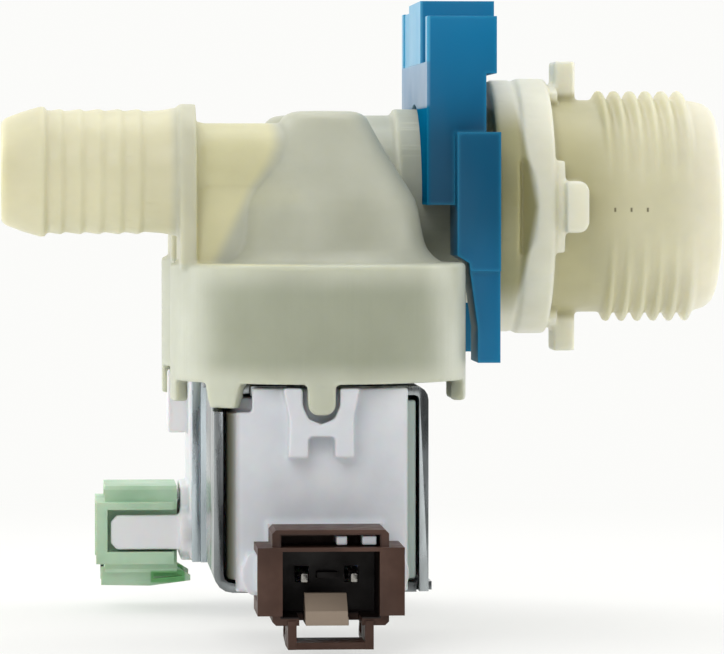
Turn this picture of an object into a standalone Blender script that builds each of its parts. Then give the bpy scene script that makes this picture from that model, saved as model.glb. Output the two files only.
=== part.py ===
"""Double solenoid inlet valve of a washing machine.

Metres, +Z up. The origin is on the axis of the inlet thread, at the face of the body that bears on
the appliance's rear panel. +X runs out of the inlet, -X out of the two hose barbs, -Y is the front.
"""

import math

import bmesh
import bpy
from mathutils import Matrix, Vector

MM = 0.001
GAP = 0.3 * MM

# Inlet nozzle, along X
THREAD_CREST_R = 13.16 * MM
THREAD_ROOT_R = 12.06 * MM
THREAD_PITCH = 1.814 * MM
THREAD_LOW_X = 5.75 * MM
THREAD_TURNS = 6
THREAD_START = math.radians(3.75)
NECK_R = 11.0 * MM
LUG_COUNT = 4

# Valve pots, one on each side of the inlet
POT_X = -26.82 * MM
POT_Y = 18.8 * MM
POT_R = 16.2 * MM
POT_WALL = 1.5 * MM
POT_TOP_Z = -6.0 * MM
POT_BOTTOM_Z = -18.75 * MM
DOME_X = -26.1 * MM
GUIDE_X = -0.5 * MM

# Outlet tubes and hose barbs
BARB_Z = 3.9 * MM
OUTLET_R = 5.3 * MM
WEB_HALF = 6.9 * MM
BARB_TOOTH_PITCH = 2.12 * MM
BARB_TOOTH_COUNT = 5
COLLAR_LOW_X = -42.1 * MM
COLLAR_HIGH_X = -40.27 * MM
COLLAR_R = 7.4 * MM

# Solenoid coils, in the frame of their own axis with the connector towards -Y
YOKE_LEFT = -11.85 * MM
YOKE_RIGHT = 11.2 * MM
YOKE_HALF_WIDTH = 12.0 * MM
YOKE_T = 1.0 * MM
YOKE_TOP_Z = POT_BOTTOM_Z - GAP
YOKE_BOTTOM_Z = -41.2 * MM
STAKE_REACH = 0.5 * MM
STAKE_HALF = 2.0
STAKE_SHRINK = 0.05 * MM
NOTCH_HALF = 2.35
CORE_HOLE_R = 5.9 * MM
COIL_LEFT = -10.5 * MM
COIL_RIGHT = 9.85 * MM
COIL_HALF_DEPTH = 10.5 * MM
COIL_TOP_Z = YOKE_TOP_Z - YOKE_T - GAP
COIL_LOW_Z = YOKE_BOTTOM_Z + YOKE_T + GAP
PAD_Y = -13.2 * MM
BASE_Y = -14.3 * MM
TERMINAL_X = 2.65
TERMINAL_Z = -38.9

# The rear coil's connector sits higher on its coil than the front one, and its bail is shorter
LIFT = {"front": 0.0, "rear": 1.0}
BAIL_LOW_Z = {"front": -46.3, "rear": -45.4}

NYLON = (0.80, 0.78, 0.66)
BLUE = (0.03, 0.22, 0.48)
ZINC = (0.55, 0.57, 0.60)
COIL_WHITE = (0.80, 0.80, 0.83)
BROWN = (0.075, 0.034, 0.022)
GREEN = (0.38, 0.63, 0.42)
RUBBER = (0.02, 0.02, 0.02)
COPPER = (0.72, 0.28, 0.12)
STEEL = (0.42, 0.42, 0.44)
BLACK_NYLON = (0.03, 0.03, 0.035)
TIN = (0.75, 0.75, 0.72)


def mm(points):
    """The same points, given in millimetres, as metres."""
    return [tuple(value * MM for value in point) for point in points]


def new_collection(name, parent):
    made = bpy.data.collections.new(name)
    parent.children.link(made)
    return made


def clear_scene():
    for obj in list(bpy.data.objects):
        bpy.data.objects.remove(obj, do_unlink=True)


clear_scene()
SCENE = bpy.context.scene.collection
PARTS = new_collection("washing_machine_inlet_valve", SCENE)
CUTTERS = new_collection("cutters", SCENE)
BODY_SHAPES = new_collection("body_shapes", CUTTERS)
BODY_HOLLOWS = new_collection("body_hollows", CUTTERS)


def plastic(name, colour, roughness=0.4, metallic=0.0):
    material = bpy.data.materials.new(name)
    material.use_nodes = True
    shader = material.node_tree.nodes["Principled BSDF"]
    shader.inputs["Base Color"].default_value = (*colour, 1.0)
    shader.inputs["Roughness"].default_value = roughness
    shader.inputs["Metallic"].default_value = metallic
    material.diffuse_color = (*colour, 1.0)
    return material


MATERIALS = {
    "nylon": plastic("cream_nylon", NYLON, 0.38),
    "blue": plastic("blue_polypropylene", BLUE, 0.35),
    "zinc": plastic("zinc_plated_steel", ZINC, 0.35, 1.0),
    "coil": plastic("white_overmould", COIL_WHITE, 0.5),
    "brown": plastic("brown_polyamide", BROWN, 0.45),
    "green": plastic("green_polyamide", GREEN, 0.45),
    "rubber": plastic("black_rubber", RUBBER, 0.8),
    "copper": plastic("enamelled_copper", COPPER, 0.3, 1.0),
    "steel": plastic("stainless_steel", STEEL, 0.25, 1.0),
    "black": plastic("black_polyamide", BLACK_NYLON, 0.4),
    "tin": plastic("tinned_brass", TIN, 0.25, 1.0),
}


def place(name, mesh, home, parent=None, material=None):
    """An object of this mesh in its collection. A cutter isn't rendered."""
    obj = bpy.data.objects.new(name, mesh)
    home.objects.link(obj)
    obj.parent = parent
    if material:
        mesh.materials.append(MATERIALS[material])
    if home is not PARTS:
        obj.hide_render = True
        obj.display_type = "WIRE"
    return obj


def finish_mesh(bm, name):
    bmesh.ops.recalc_face_normals(bm, faces=bm.faces)
    mesh = bpy.data.meshes.new(name)
    bm.to_mesh(mesh)
    bm.free()
    mesh.shade_smooth()
    mesh.set_sharp_from_angle(angle=math.radians(35))
    return mesh


def box(name, low, high, home=CUTTERS, parent=None, material=None):
    """A box between two corners, given in millimetres."""
    low, high = Vector(low) * MM, Vector(high) * MM
    bm = bmesh.new()
    shape = Matrix.Translation((low + high) / 2) @ Matrix.Diagonal((*(high - low), 1.0))
    bmesh.ops.create_cube(bm, size=1.0, matrix=shape)
    return place(name, finish_mesh(bm, name), home, parent, material)


def bar(name, radius, start, end, home=CUTTERS, parent=None, material=None, sides=24):
    """A round bar between two points, given in millimetres."""
    start, end = Vector(start) * MM, Vector(end) * MM
    along = end - start
    turn = along.to_track_quat("Z", "Y").to_matrix().to_4x4()
    bm = bmesh.new()
    bmesh.ops.create_cone(
        bm,
        cap_ends=True,
        segments=sides,
        radius1=radius * MM,
        radius2=radius * MM,
        depth=along.length,
        matrix=Matrix.Translation((start + end) / 2) @ turn,
    )
    return place(name, finish_mesh(bm, name), home, parent, material)


def turned(name, profile, home=CUTTERS, parent=None, material=None, steps=32, ring=False):
    """A turned solid about its own Z from (radius, height) points that run down its outer side."""
    bm = bmesh.new()
    points = [bm.verts.new((radius, 0.0, height)) for radius, height in profile]
    for first, second in zip(points, points[1:]):
        bm.edges.new((first, second))
    if ring:
        bm.edges.new((points[-1], points[0]))
    mesh = bpy.data.meshes.new(name)
    bm.to_mesh(mesh)
    bm.free()
    obj = place(name, mesh, home, parent, material)
    screw = obj.modifiers.new("turn", "SCREW")
    screw.axis = "Z"
    screw.steps = steps
    screw.render_steps = steps
    screw.use_smooth_shade = True
    screw.use_merge_vertices = True
    screw.merge_threshold = 0.00001
    return obj


def turned_x(name, profile, y=0.0, z=0.0, **options):
    """A turned solid about an axis along X, from (radius, x) points that run from +X to -X."""
    obj = turned(name, profile, **options)
    obj.location = (0.0, y, z)
    obj.rotation_euler = (0.0, math.pi / 2, 0.0)
    return obj


def turned_at(name, profile, x, y, **options):
    obj = turned(name, profile, **options)
    obj.location = (x, y, 0.0)
    return obj


def hull(name, corners, home=CUTTERS):
    """The convex solid with these corners, given in millimetres."""
    bm = bmesh.new()
    for corner in corners:
        bm.verts.new(Vector(corner) * MM)
    bmesh.ops.convex_hull(bm, input=bm.verts)
    return place(name, finish_mesh(bm, name), home)


AXES = {
    "X": Matrix(((0, 0, 1, 0), (1, 0, 0, 0), (0, 1, 0, 0), (0, 0, 0, 1))),
    "Y": Matrix(((1, 0, 0, 0), (0, 0, -1, 0), (0, 1, 0, 0), (0, 0, 0, 1))),
    "Z": Matrix.Identity(4),
}


def plate(name, outlines, axis, low, high, home=CUTTERS, parent=None, material=None):
    """Flat outlines (the first outer, the rest holes) as a plate between two places on its axis."""
    curve = bpy.data.curves.new(name, "CURVE")
    curve.dimensions = "2D"
    curve.fill_mode = "BOTH"
    curve.extrude = (high - low) / 2
    for outline in outlines:
        spline = curve.splines.new("POLY")
        spline.points.add(len(outline) - 1)
        for point, (u, v) in zip(spline.points, outline):
            point.co = (u, v, 0.0, 1.0)
        spline.use_cyclic_u = True
    guide = bpy.data.objects.new(name + "_guide", curve)
    CUTTERS.objects.link(guide)
    flat = bpy.data.meshes.new_from_object(guide)
    bpy.data.objects.remove(guide)
    bm = bmesh.new()
    bm.from_mesh(flat)
    bmesh.ops.remove_doubles(bm, verts=bm.verts, dist=1e-6)
    shift = {"X": ((low + high) / 2, 0, 0), "Y": (0, (low + high) / 2, 0), "Z": (0, 0, (low + high) / 2)}
    bmesh.ops.transform(bm, matrix=Matrix.Translation(shift[axis]) @ AXES[axis], verts=bm.verts)
    return place(name, finish_mesh(bm, name), home, parent, material)


def arc(cx, cy, radius, start, end, count):
    """Points on an arc, with angles in degrees."""
    angles = (math.radians(start + (end - start) * i / count) for i in range(count + 1))
    return [(cx + radius * math.cos(a), cy + radius * math.sin(a)) for a in angles]


def rounded_rectangle(x0, y0, x1, y1, radius, count=3):
    """The outline of a rectangle with rounded corners, anticlockwise."""
    return (
        arc(x1 - radius, y0 + radius, radius, -90, 0, count)
        + arc(x1 - radius, y1 - radius, radius, 0, 90, count)
        + arc(x0 + radius, y1 - radius, radius, 90, 180, count)
        + arc(x0 + radius, y0 + radius, radius, 180, 270, count)
    )


def combine(target, operation, other):
    """A Boolean of one object, or of a whole collection, on the target."""
    modifier = target.modifiers.new(operation.lower() + "_" + other.name, "BOOLEAN")
    modifier.operation = operation
    modifier.solver = "EXACT"
    if isinstance(other, bpy.types.Collection):
        modifier.operand_type = "COLLECTION"
        modifier.collection = other
    else:
        modifier.object = other


def join(target, *others):
    for other in others:
        combine(target, "UNION", other)


def cut(target, *others):
    for other in others:
        combine(target, "DIFFERENCE", other)


def round_edges(obj, width, segments=1):
    bevel = obj.modifiers.new("round_edges", "BEVEL")
    bevel.width = width
    bevel.segments = segments
    bevel.limit_method = "ANGLE"


def coil_frame(name, side, turn):
    """An empty on the axis of one pot and its coil."""
    frame = bpy.data.objects.new(name, None)
    CUTTERS.objects.link(frame)
    frame.empty_display_size = 0.01
    frame.location = (POT_X, side * POT_Y, 0.0)
    frame.rotation_euler = (0.0, 0.0, math.radians(turn))
    return frame


# Body moulding


def nozzle_profile():
    """The outside of the inlet nozzle, from its nose to the closed end behind the neck."""
    return mm(
        [
            (0, 19.2),
            (10.9, 19.2),
            (11.6, 18.7),
            (12.0, 17.6),
            (12.06, 16.8),
            (12.06, 0.0),
            (14.2, 0.0),
            (14.5, -0.3),
            (14.5, -3.2),
            (14.2, -3.6),
            (12.5, -3.6),
            (12.5, -4.0),
            (14.3, -4.0),
            (14.3, -6.5),
            (11.0, -6.5),
            (11.0, -17.3),
            (10.3, -17.3),
            (10.3, -20.6),
            (9.2, -22.0),
            (0, -22.4),
        ]
    )


def thread_ridge():
    """The helical ridge of the G 3/4 thread, sunk a little into the nozzle. It starts at the back."""
    steps_per_turn = 16
    base_r = THREAD_ROOT_R - 0.35 * MM
    base_half, crest_half = 0.86 * MM, 0.17 * MM
    bm = bmesh.new()
    section = [
        (THREAD_LOW_X - base_half, base_r),
        (THREAD_LOW_X - crest_half, THREAD_CREST_R),
        (THREAD_LOW_X + crest_half, THREAD_CREST_R),
        (THREAD_LOW_X + base_half, base_r),
    ]
    across, up = math.cos(THREAD_START), math.sin(THREAD_START)
    face = bm.faces.new([bm.verts.new((x, radius * across, radius * up)) for x, radius in section])
    bmesh.ops.spin(
        bm,
        geom=[face] + list(face.edges) + list(face.verts),
        axis=(1.0, 0.0, 0.0),
        cent=(0.0, 0.0, 0.0),
        dvec=(THREAD_PITCH / steps_per_turn, 0.0, 0.0),
        angle=math.tau * THREAD_TURNS,
        steps=steps_per_turn * THREAD_TURNS,
    )
    return place("thread_ridge", finish_mesh(bm, "thread_ridge"), BODY_SHAPES)


def bayonet_lugs():
    """Four lugs that pass the panel's notches: a ledge as thick as the panel, then a wider tip."""
    for index in range(LUG_COUNT):
        turn = index * math.tau / LUG_COUNT
        ledge = box(f"lug_ledge_{index}", (-0.5, -5.25, 11.0), (1.1, 5.25, 13.8), BODY_SHAPES)
        tip = box(f"lug_tip_{index}", (1.0, -2.85, 11.0), (3.8, 2.85, 16.4), BODY_SHAPES)
        round_edges(tip, 0.5 * MM)
        for piece in (ledge, tip):
            piece.rotation_euler = (turn, 0.0, 0.0)


def plate_scoops():
    """Cuts that thin the back of the panel plate towards its two sides."""
    for name, side in (("front", -1), ("rear", 1)):
        corners = [(-3.85, side * 16.0, z) for z in (-11.7, 11.7)]
        corners += [(-1.6, side * 16.0, z) for z in (-1.8, 1.8)]
        corners += [(-3.85, side * 12.75, z) for z in (-5.0, 5.0)]
        hull(f"{name}_plate_scoop", corners, BODY_HOLLOWS)


def barb_profile():
    """The outside of an outlet tube and its hose barb, from the dome out to the tip."""
    tube = OUTLET_R / MM
    points = [(0, -24.0), (tube, -24.0), (tube, -41.0), (7.0, -41.0), (7.0, -42.0), (6.58, -45.9)]
    crest = -46.35
    for _ in range(BARB_TOOTH_COUNT):
        points += [(6.56, crest + 0.2), (6.86, crest - 0.1)]
        crest -= BARB_TOOTH_PITCH / MM
    points += [(6.6, -56.5), (7.12, -56.7), (7.12, -57.1), (5.75, -60.9), (5.4, -61.4), (0, -61.4)]
    return mm(points)


def dome_profile():
    """The flared dome over a pot, which turns the flow into the outlet tube."""
    return mm(
        [
            (0, 10.55),
            (3.6, 10.45),
            (4.6, 9.8),
            (5.2, 8.7),
            (6.9, 5.7),
            (9.2, 2.1),
            (10.3, 0.1),
            (10.7, -2.2),
            (11.3, -4.5),
            (12.1, -5.5),
            (13.2, -6.1),
            (13.2, -7.0),
            (0, -7.0),
        ]
    )


def pot_hollow_profile():
    """The inside of a dome, its seat bore, the ring chamber round the seat and the open pot."""
    return mm(
        [
            (0, 8.7),
            (3.0, 8.5),
            (4.9, 5.6),
            (7.2, 1.9),
            (8.5, -0.6),
            (8.9, -3.0),
            (9.6, -6.0),
            (4.4, -6.0),
            (4.4, -10.0),
            (6.2, -10.0),
            (6.2, -7.6),
            (13.2, -7.6),
            (13.2, -10.3),
            (14.7, -10.3),
            (14.7, -20.2),
            (0, -20.2),
        ]
    )


def arch_outline(y, radius, foot_half):
    """A round top about an outlet tube, with sides that run down into the pot's top."""
    foot_z = POT_TOP_Z - 0.5 * MM
    top = arc(y, BARB_Z, radius, -3, 183, 10)
    return top + [(y - foot_half, foot_z), (y + foot_half, foot_z)]


def wall_sector(name, frame, start, end, low, taper=0.0):
    """A foot that carries the pot's wall further down, between two angles that may close in."""
    count = 5
    proud = 0.04 * MM
    rings = []
    for radius in (POT_R + proud, POT_R - POT_WALL + proud):
        for height, inset in ((POT_BOTTOM_Z + 1.0 * MM, 0.0), (low, taper)):
            points = arc(0, 0, radius, start + inset, end - inset, count)
            rings.append([(x, y, height) for x, y in points])
    bm = bmesh.new()
    outer_top, outer_low, inner_top, inner_low = (
        [bm.verts.new(point) for point in ring] for ring in rings
    )
    around = (outer_top, outer_low, inner_low, inner_top)
    for first, second in zip(around, around[1:] + around[:1]):
        for index in range(count):
            bm.faces.new((first[index], second[index], second[index + 1], first[index + 1]))
    for index in (0, count):
        bm.faces.new([ring[index] for ring in around])
    place(name, finish_mesh(bm, name), BODY_SHAPES, frame)


def pot_skirt(frame, side):
    """Feet at both ends, one tab beside the yoke and the keyed tab that stops the coil turning."""
    wall_sector(f"{side}_left_foot", frame, 167, 193, -21.05 * MM)
    wall_sector(f"{side}_right_foot", frame, -13, 13, -21.05 * MM)
    wall_sector(f"{side}_corner_tab", frame, 216.5, 236.5, -21.4 * MM, 4.0)
    guide = GUIDE_X / MM
    half = ((1.5, -18.2), (1.5, -20.9), (0.7, -22.0))
    key = [(guide - u, v) for u, v in half] + [(guide + u, v) for u, v in reversed(half)]
    plate(f"{side}_key_tab", [mm(key)], "Y", -16.15 * MM, -14.8 * MM, BODY_SHAPES, frame)


def valve_body(frames):
    body = turned_x("valve_body", nozzle_profile(), home=PARTS, material="nylon", steps=30)
    thread_ridge()
    bayonet_lugs()
    plate_scoops()
    box("gallery_block", (-22.5, -8.5, -12.0), (-14.0, 8.5, -5.0), BODY_SHAPES)
    turned_x(
        "inlet_bore",
        mm([(0, 20.2), (10.4, 20.2), (9.7, 18.6), (9.7, -6.0), (8.8, -6.0), (8.8, -19.6), (0, -19.6)]),
        home=BODY_HOLLOWS,
        steps=20,
    )
    box("gallery", (-22.0, -12.2, -9.4), (-14.6, 12.2, -7.75), BODY_HOLLOWS)
    bottom = POT_BOTTOM_Z / MM
    pot = mm([(0, -6.0), (15.9, -6.0), (16.2, -6.3), (16.2, bottom), (0, bottom)])
    bore = mm([(0, -26.5), (4.1, -26.5), (4.1, -40.0), (4.6, -42.0), (4.6, -62.0), (0, -62.0)])
    for side, frame in frames.items():
        y = frame.location.y
        turned_at(f"{side}_pot", pot, POT_X, y, home=BODY_SHAPES, steps=30)
        turned_at(f"{side}_dome", dome_profile(), DOME_X, y, home=BODY_SHAPES, steps=20)
        turned_x(f"{side}_barb", barb_profile(), y, BARB_Z, home=BODY_SHAPES, steps=16)
        collar = arch_outline(y, COLLAR_R, COLLAR_R)
        plate(f"{side}_collar", [collar], "X", COLLAR_LOW_X, COLLAR_HIGH_X, BODY_SHAPES)
        web = arch_outline(y, OUTLET_R - 0.5 * MM, WEB_HALF)
        plate(f"{side}_web", [web], "X", COLLAR_HIGH_X - 0.5 * MM, -30.5 * MM, BODY_SHAPES)
        pot_skirt(frame, side)
        turned_at(f"{side}_hollow", pot_hollow_profile(), POT_X, y, home=BODY_HOLLOWS, steps=16)
        turned_x(f"{side}_outlet_bore", bore, y, BARB_Z, home=BODY_HOLLOWS, steps=12)
    join(body, BODY_SHAPES)
    cut(body, BODY_HOLLOWS)


# Pieces in the inlet


def inlet_strainer():
    """A filter cup that pushes into the nozzle, with windows in its wall and a tab to pull it by."""
    cup = mm(
        [
            (0, 5.0),
            (6.8, 5.0),
            (7.7, 15.2),
            (8.6, 16.2),
            (9.35, 16.2),
            (9.35, 14.8),
            (8.4, 14.8),
            (7.5, 4.2),
            (0, 4.2),
        ]
    )
    strainer = turned_x("inlet_strainer", cup, home=PARTS, material="coil", steps=16)
    join(strainer, box("strainer_tab", (4.6, -0.5, -2.6), (12.0, 0.5, 2.6)))
    for index in range(4):
        window = box(f"strainer_window_{index}", (6.2, -1.5, -12.0), (13.4, 1.5, -4.0))
        other = box(f"strainer_window_{index + 4}", (6.2, -1.5, 4.0), (13.4, 1.5, 12.0))
        for piece in (window, other):
            piece.rotation_euler = (math.radians(22.5 + 45 * index), 0.0, 0.0)
            cut(strainer, piece)


def flow_regulator():
    """The cage against the step of the bore, and the rubber washer that bows in it."""
    cage = mm([(9.35, 0.6), (9.35, -5.7), (3.0, -5.7), (3.0, -4.6), (8.2, -4.6), (8.2, 0.6)])
    body = turned_x("flow_regulator_cage", cage, home=PARTS, material="black", steps=16, ring=True)
    for index in range(6):
        slot = box(f"cage_slot_{index}", (-6.2, -0.8, 4.2), (-4.0, 0.8, 7.2))
        slot.rotation_euler = (index * math.tau / 6, 0.0, 0.0)
        cut(body, slot)
    washer = mm([(6.9, -1.4), (7.3, -1.9), (7.3, -3.8), (6.9, -4.3), (2.3, -4.3), (1.9, -3.8), (1.9, -1.4)])
    turned_x("flow_regulator_washer", washer, home=PARTS, material="rubber", steps=16, ring=True)


# Clip that locks the valve in the panel


def fork_outline():
    """The fork that straddles the neck, seen along the inlet axis."""
    arch_r = NECK_R + GAP + 0.05 * MM
    low, shoulder = 0.24 * MM, 16.0 * MM
    outer = [
        (18.0 * MM, low),
        (18.0 * MM, 22.3 * MM),
        (15.8 * MM, 22.3 * MM),
        (15.8 * MM, shoulder),
        (-15.8 * MM, shoulder),
        (-15.8 * MM, 21.0 * MM),
        (-18.0 * MM, 21.0 * MM),
        (-18.0 * MM, low),
    ]
    return outer + [(-arch_r, low)] + arc(0, low, arch_r, 180, 0, 14)[1:-1] + [(arch_r, low)]


def leg_outline():
    """A leg of the clip, seen from the front. Its lower end narrows past the pot."""
    return mm(
        [
            (-11.66, 8.24),
            (-11.66, -5.3),
            (-10.35, -6.1),
            (-9.35, -13.2),
            (-9.35, -17.05),
            (-6.85, -17.05),
            (-6.85, 8.24),
        ]
    )


def mounting_clip():
    """A fork with a thumb tab and a thin rear wall on top, and a leg down each side of the pots."""
    clip = plate("mounting_clip", [fork_outline()], "X", -14.76 * MM, -7.04 * MM, PARTS, None, "blue")
    cut(clip, box("clip_flange_room", (-8.2, -19.0, -1.0), (-6.0, 19.0, 14.7)))
    join(clip, box("clip_tab", (-14.7, -8.0, 15.5), (-6.4, 8.0, 23.0)))
    join(clip, box("clip_rear_wall", (-14.6, 7.5, 15.6), (-13.2, 16.2, 22.2)))
    for name, side in (("front", -1), ("rear", 1)):
        near, far = sorted((side * 12.0 * MM, side * 21.0 * MM))
        leg = plate(f"clip_{name}_leg", [leg_outline()], "Y", near, far)
        shade = sorted((side * 20.4, side * 22.0))
        cut(leg, box(f"clip_{name}_step", (-13.0, shade[0], -18.0), (-6.0, shade[1], -7.0)))
        join(clip, leg)


# Coil assembly, in the frame of its own axis


def corner_relief(side, name, frame):
    """Room in a yoke for the pot's corner tab."""
    return box(f"{side}_{name}_relief", (-13.5, -12.5, -21.8), (-7.9, -8.3, -18.0), parent=frame)


def yoke_upper(side, frame):
    """The top strip and its right limb, bent from one strip. Its tabs are staked into the left limb."""
    outer_r, inner_r = 1.5 * MM, 0.5 * MM
    right, top = YOKE_RIGHT, YOKE_TOP_Z
    low = YOKE_BOTTOM_Z + 0.05 * MM
    inner_end = YOKE_LEFT + YOKE_T + GAP
    outline = (
        [(right, low)]
        + arc(right - outer_r, top - outer_r, outer_r, 0, 90, 4)
        + [(inner_end, top), (inner_end, top - YOKE_T)]
        + arc(right - YOKE_T - inner_r, top - YOKE_T - inner_r, inner_r, 90, 0, 2)
        + [(right - YOKE_T, low)]
    )
    name = f"{side}_yoke_upper"
    yoke = plate(name, [outline], "Y", -YOKE_HALF_WIDTH, YOKE_HALF_WIDTH, PARTS, frame, "zinc")
    cut(yoke, bar(name + "_hole", CORE_HOLE_R / MM, (0, 0, -23), (0, 0, -18), parent=frame))
    cut(yoke, corner_relief(side, "upper", frame))
    tip, root = (YOKE_LEFT - STAKE_REACH) / MM, inner_end / MM + 1
    tab_top = (top - STAKE_SHRINK) / MM
    tab_low = (top - YOKE_T + STAKE_SHRINK) / MM
    for index, y in enumerate((-4.5, 8.0)):
        corners = (tip, y - STAKE_HALF, tab_low), (root, y + STAKE_HALF, tab_top)
        join(yoke, box(f"{name}_tab_{index}", *corners, parent=frame))
    for index, y in enumerate((-8.0, 8.0)):
        corners = (9, y - NOTCH_HALF, -43), (13, y + NOTCH_HALF, -39.85)
        cut(yoke, box(f"{name}_notch_{index}", *corners, parent=frame))


def yoke_lower(side, frame):
    """The bottom strip and its left limb. Its tabs are staked into the right limb."""
    outer_r, inner_r = 2.0 * MM, 1.0 * MM
    left, low, top = YOKE_LEFT, YOKE_BOTTOM_Z, YOKE_TOP_Z
    inner_end = YOKE_RIGHT - YOKE_T - GAP
    outline = (
        [(left, top)]
        + arc(left + outer_r, low + outer_r, outer_r, 180, 270, 4)
        + [(inner_end, low), (inner_end, low + YOKE_T)]
        + arc(left + YOKE_T + inner_r, low + YOKE_T + inner_r, inner_r, 270, 180, 3)
        + [(left + YOKE_T, top)]
    )
    name = f"{side}_yoke_lower"
    yoke = plate(name, [outline], "Y", -YOKE_HALF_WIDTH, YOKE_HALF_WIDTH, PARTS, frame, "zinc")
    cut(yoke, bar(name + "_hole", CORE_HOLE_R / MM, (0, 0, -43), (0, 0, -39), parent=frame))
    root, tip = inner_end / MM - 1, (YOKE_RIGHT + STAKE_REACH) / MM
    tab_low = (low + STAKE_SHRINK) / MM
    tab_top = (low + YOKE_T - STAKE_SHRINK) / MM
    for index, y in enumerate((-8.0, 8.0)):
        corners = (root, y - STAKE_HALF, tab_low), (tip, y + STAKE_HALF, tab_top)
        join(yoke, box(f"{name}_tab_{index}", *corners, parent=frame))
    cut(yoke, corner_relief(side, "lower", frame))
    for index, y in enumerate((-4.5, 8.0)):
        corners = (-13, y - NOTCH_HALF, -20.4), (-9, y + NOTCH_HALF, -18)
        cut(yoke, box(f"{name}_notch_{index}", *corners, parent=frame))


def key_guide_outline():
    """The raised H on the coil's front: a U that takes the pot's key, and a window below it."""
    cx = GUIDE_X
    half = mm([(3.5, -26.6), (3.4, -22.5), (4.1, -19.15), (1.98, -19.15)])
    left = [(cx - u, v) for u, v in half]
    right = [(cx + u, v) for u, v in reversed(half)]
    bottom = arc(cx, -21.0 * MM, 1.98 * MM, 180, 360, 4)
    window = [(cx + u * MM, v * MM) for u, v in ((1.4, -26.6), (1.4, -24.3), (-1.4, -24.3), (-1.4, -26.6))]
    return left + bottom + right + window


def connector_rail_outline(lift):
    """One of the rails that the connector's wings slide over, seen from the side: y against z."""
    points = [
        (-14.0, -36.95),
        (-14.0, -40.95),
        (-21.6, -40.95),
        (-22.3, -40.2),
        (-22.3, -37.7),
        (-21.6, -36.95),
    ]
    return mm([(u, v + lift) for u, v in points])


def winding_room_profile():
    top, low = -19.9, -40.6
    flange_low, flange_top = -38.6, -22.4
    neck_r, room_r = 6.9, 8.9
    return mm(
        [
            (0, top),
            (neck_r, top),
            (neck_r, flange_top),
            (room_r, flange_top),
            (room_r, flange_low),
            (neck_r, flange_low),
            (neck_r, low),
            (0, low),
        ]
    )


def coil_overmould(side, frame, lift):
    """The white moulding round the winding, with its front pad, key guide and connector base."""
    rim = rounded_rectangle(COIL_LEFT, -COIL_HALF_DEPTH, COIL_RIGHT, COIL_HALF_DEPTH, 5.0 * MM)
    coil = plate(f"{side}_coil_overmould", [rim], "Z", COIL_LOW_Z, COIL_TOP_Z, PARTS, frame, "coil")
    pad = rounded_rectangle(-9.6 * MM, PAD_Y, 8.95 * MM, -12.3 * MM, 0.4 * MM, 2)
    join(coil, plate(f"{side}_pad", [pad], "Z", -41.0 * MM, -21.8 * MM, parent=frame))
    join(coil, box(f"{side}_pad_top", (-7.8, -13.15, -22.5), (8.9, -12.35, -19.2), parent=frame))
    join(coil, box(f"{side}_pad_root", (-9.4, -12.6, -39.8), (8.7, -6.0, -21.9), parent=frame))
    join(coil, plate(f"{side}_key_guide", [key_guide_outline()], "Y", -15.6 * MM, -13.0 * MM, parent=frame))
    low, high = mm([(-8.95, -41.7 + lift), (8.95, -36.3 + lift)])
    ears = rounded_rectangle(*low, *high, 2.2 * MM, 2)
    join(coil, plate(f"{side}_ears", [ears], "Y", BASE_Y, -12.35 * MM, parent=frame))
    join(coil, box(f"{side}_base", (-6.2, -14.2, -42.3 + lift), (6.2, -12.4, -33.6 + lift), parent=frame))
    for hand in (-1, 1):
        inner, outer = sorted((hand * 6.1 * MM, hand * 7.4 * MM))
        rail = connector_rail_outline(lift)
        join(coil, plate(f"{side}_rail_{hand}", [rail], "X", inner, outer, parent=frame))
    cut(coil, turned(f"{side}_winding_room", winding_room_profile(), parent=frame, steps=14))
    for hand in (-1, 1):
        x, z = hand * TERMINAL_X, TERMINAL_Z + lift
        corners = (x - 0.75, -15.0, z - 0.85), (x + 0.75, -7.6, z + 0.85)
        cut(coil, box(f"{side}_terminal_slot_{hand}", *corners, parent=frame))


def terminals(side, frame, lift):
    """The two pins, from the winding to the connector's mouth."""
    for letter, hand in (("a", -1), ("b", 1)):
        x, z = hand * TERMINAL_X, TERMINAL_Z + lift
        low, high = (x - 0.4, -20.6, z - 0.5), (x + 0.4, -9.4, z + 0.5)
        box(f"{side}_terminal_{letter}", low, high, PARTS, frame, "tin")


def bail_outlines(lift, low):
    """One side of the bail under the connector, seen from the side: y against z, with a window."""
    root = -43.2 + lift
    low += lift
    outline = [
        (-23.4, root),
        (-23.4, low + 0.1),
        (-17.7, low),
        (-13.0, low + 0.6),
        (-13.0, low + 1.2),
        (-14.6, root),
    ]
    window = [(-17.3, root - 0.7), (-17.3, low + 0.8), (-13.9, low + 1.15), (-14.7, root - 0.7)]
    return [mm(outline), mm(window)]


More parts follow.
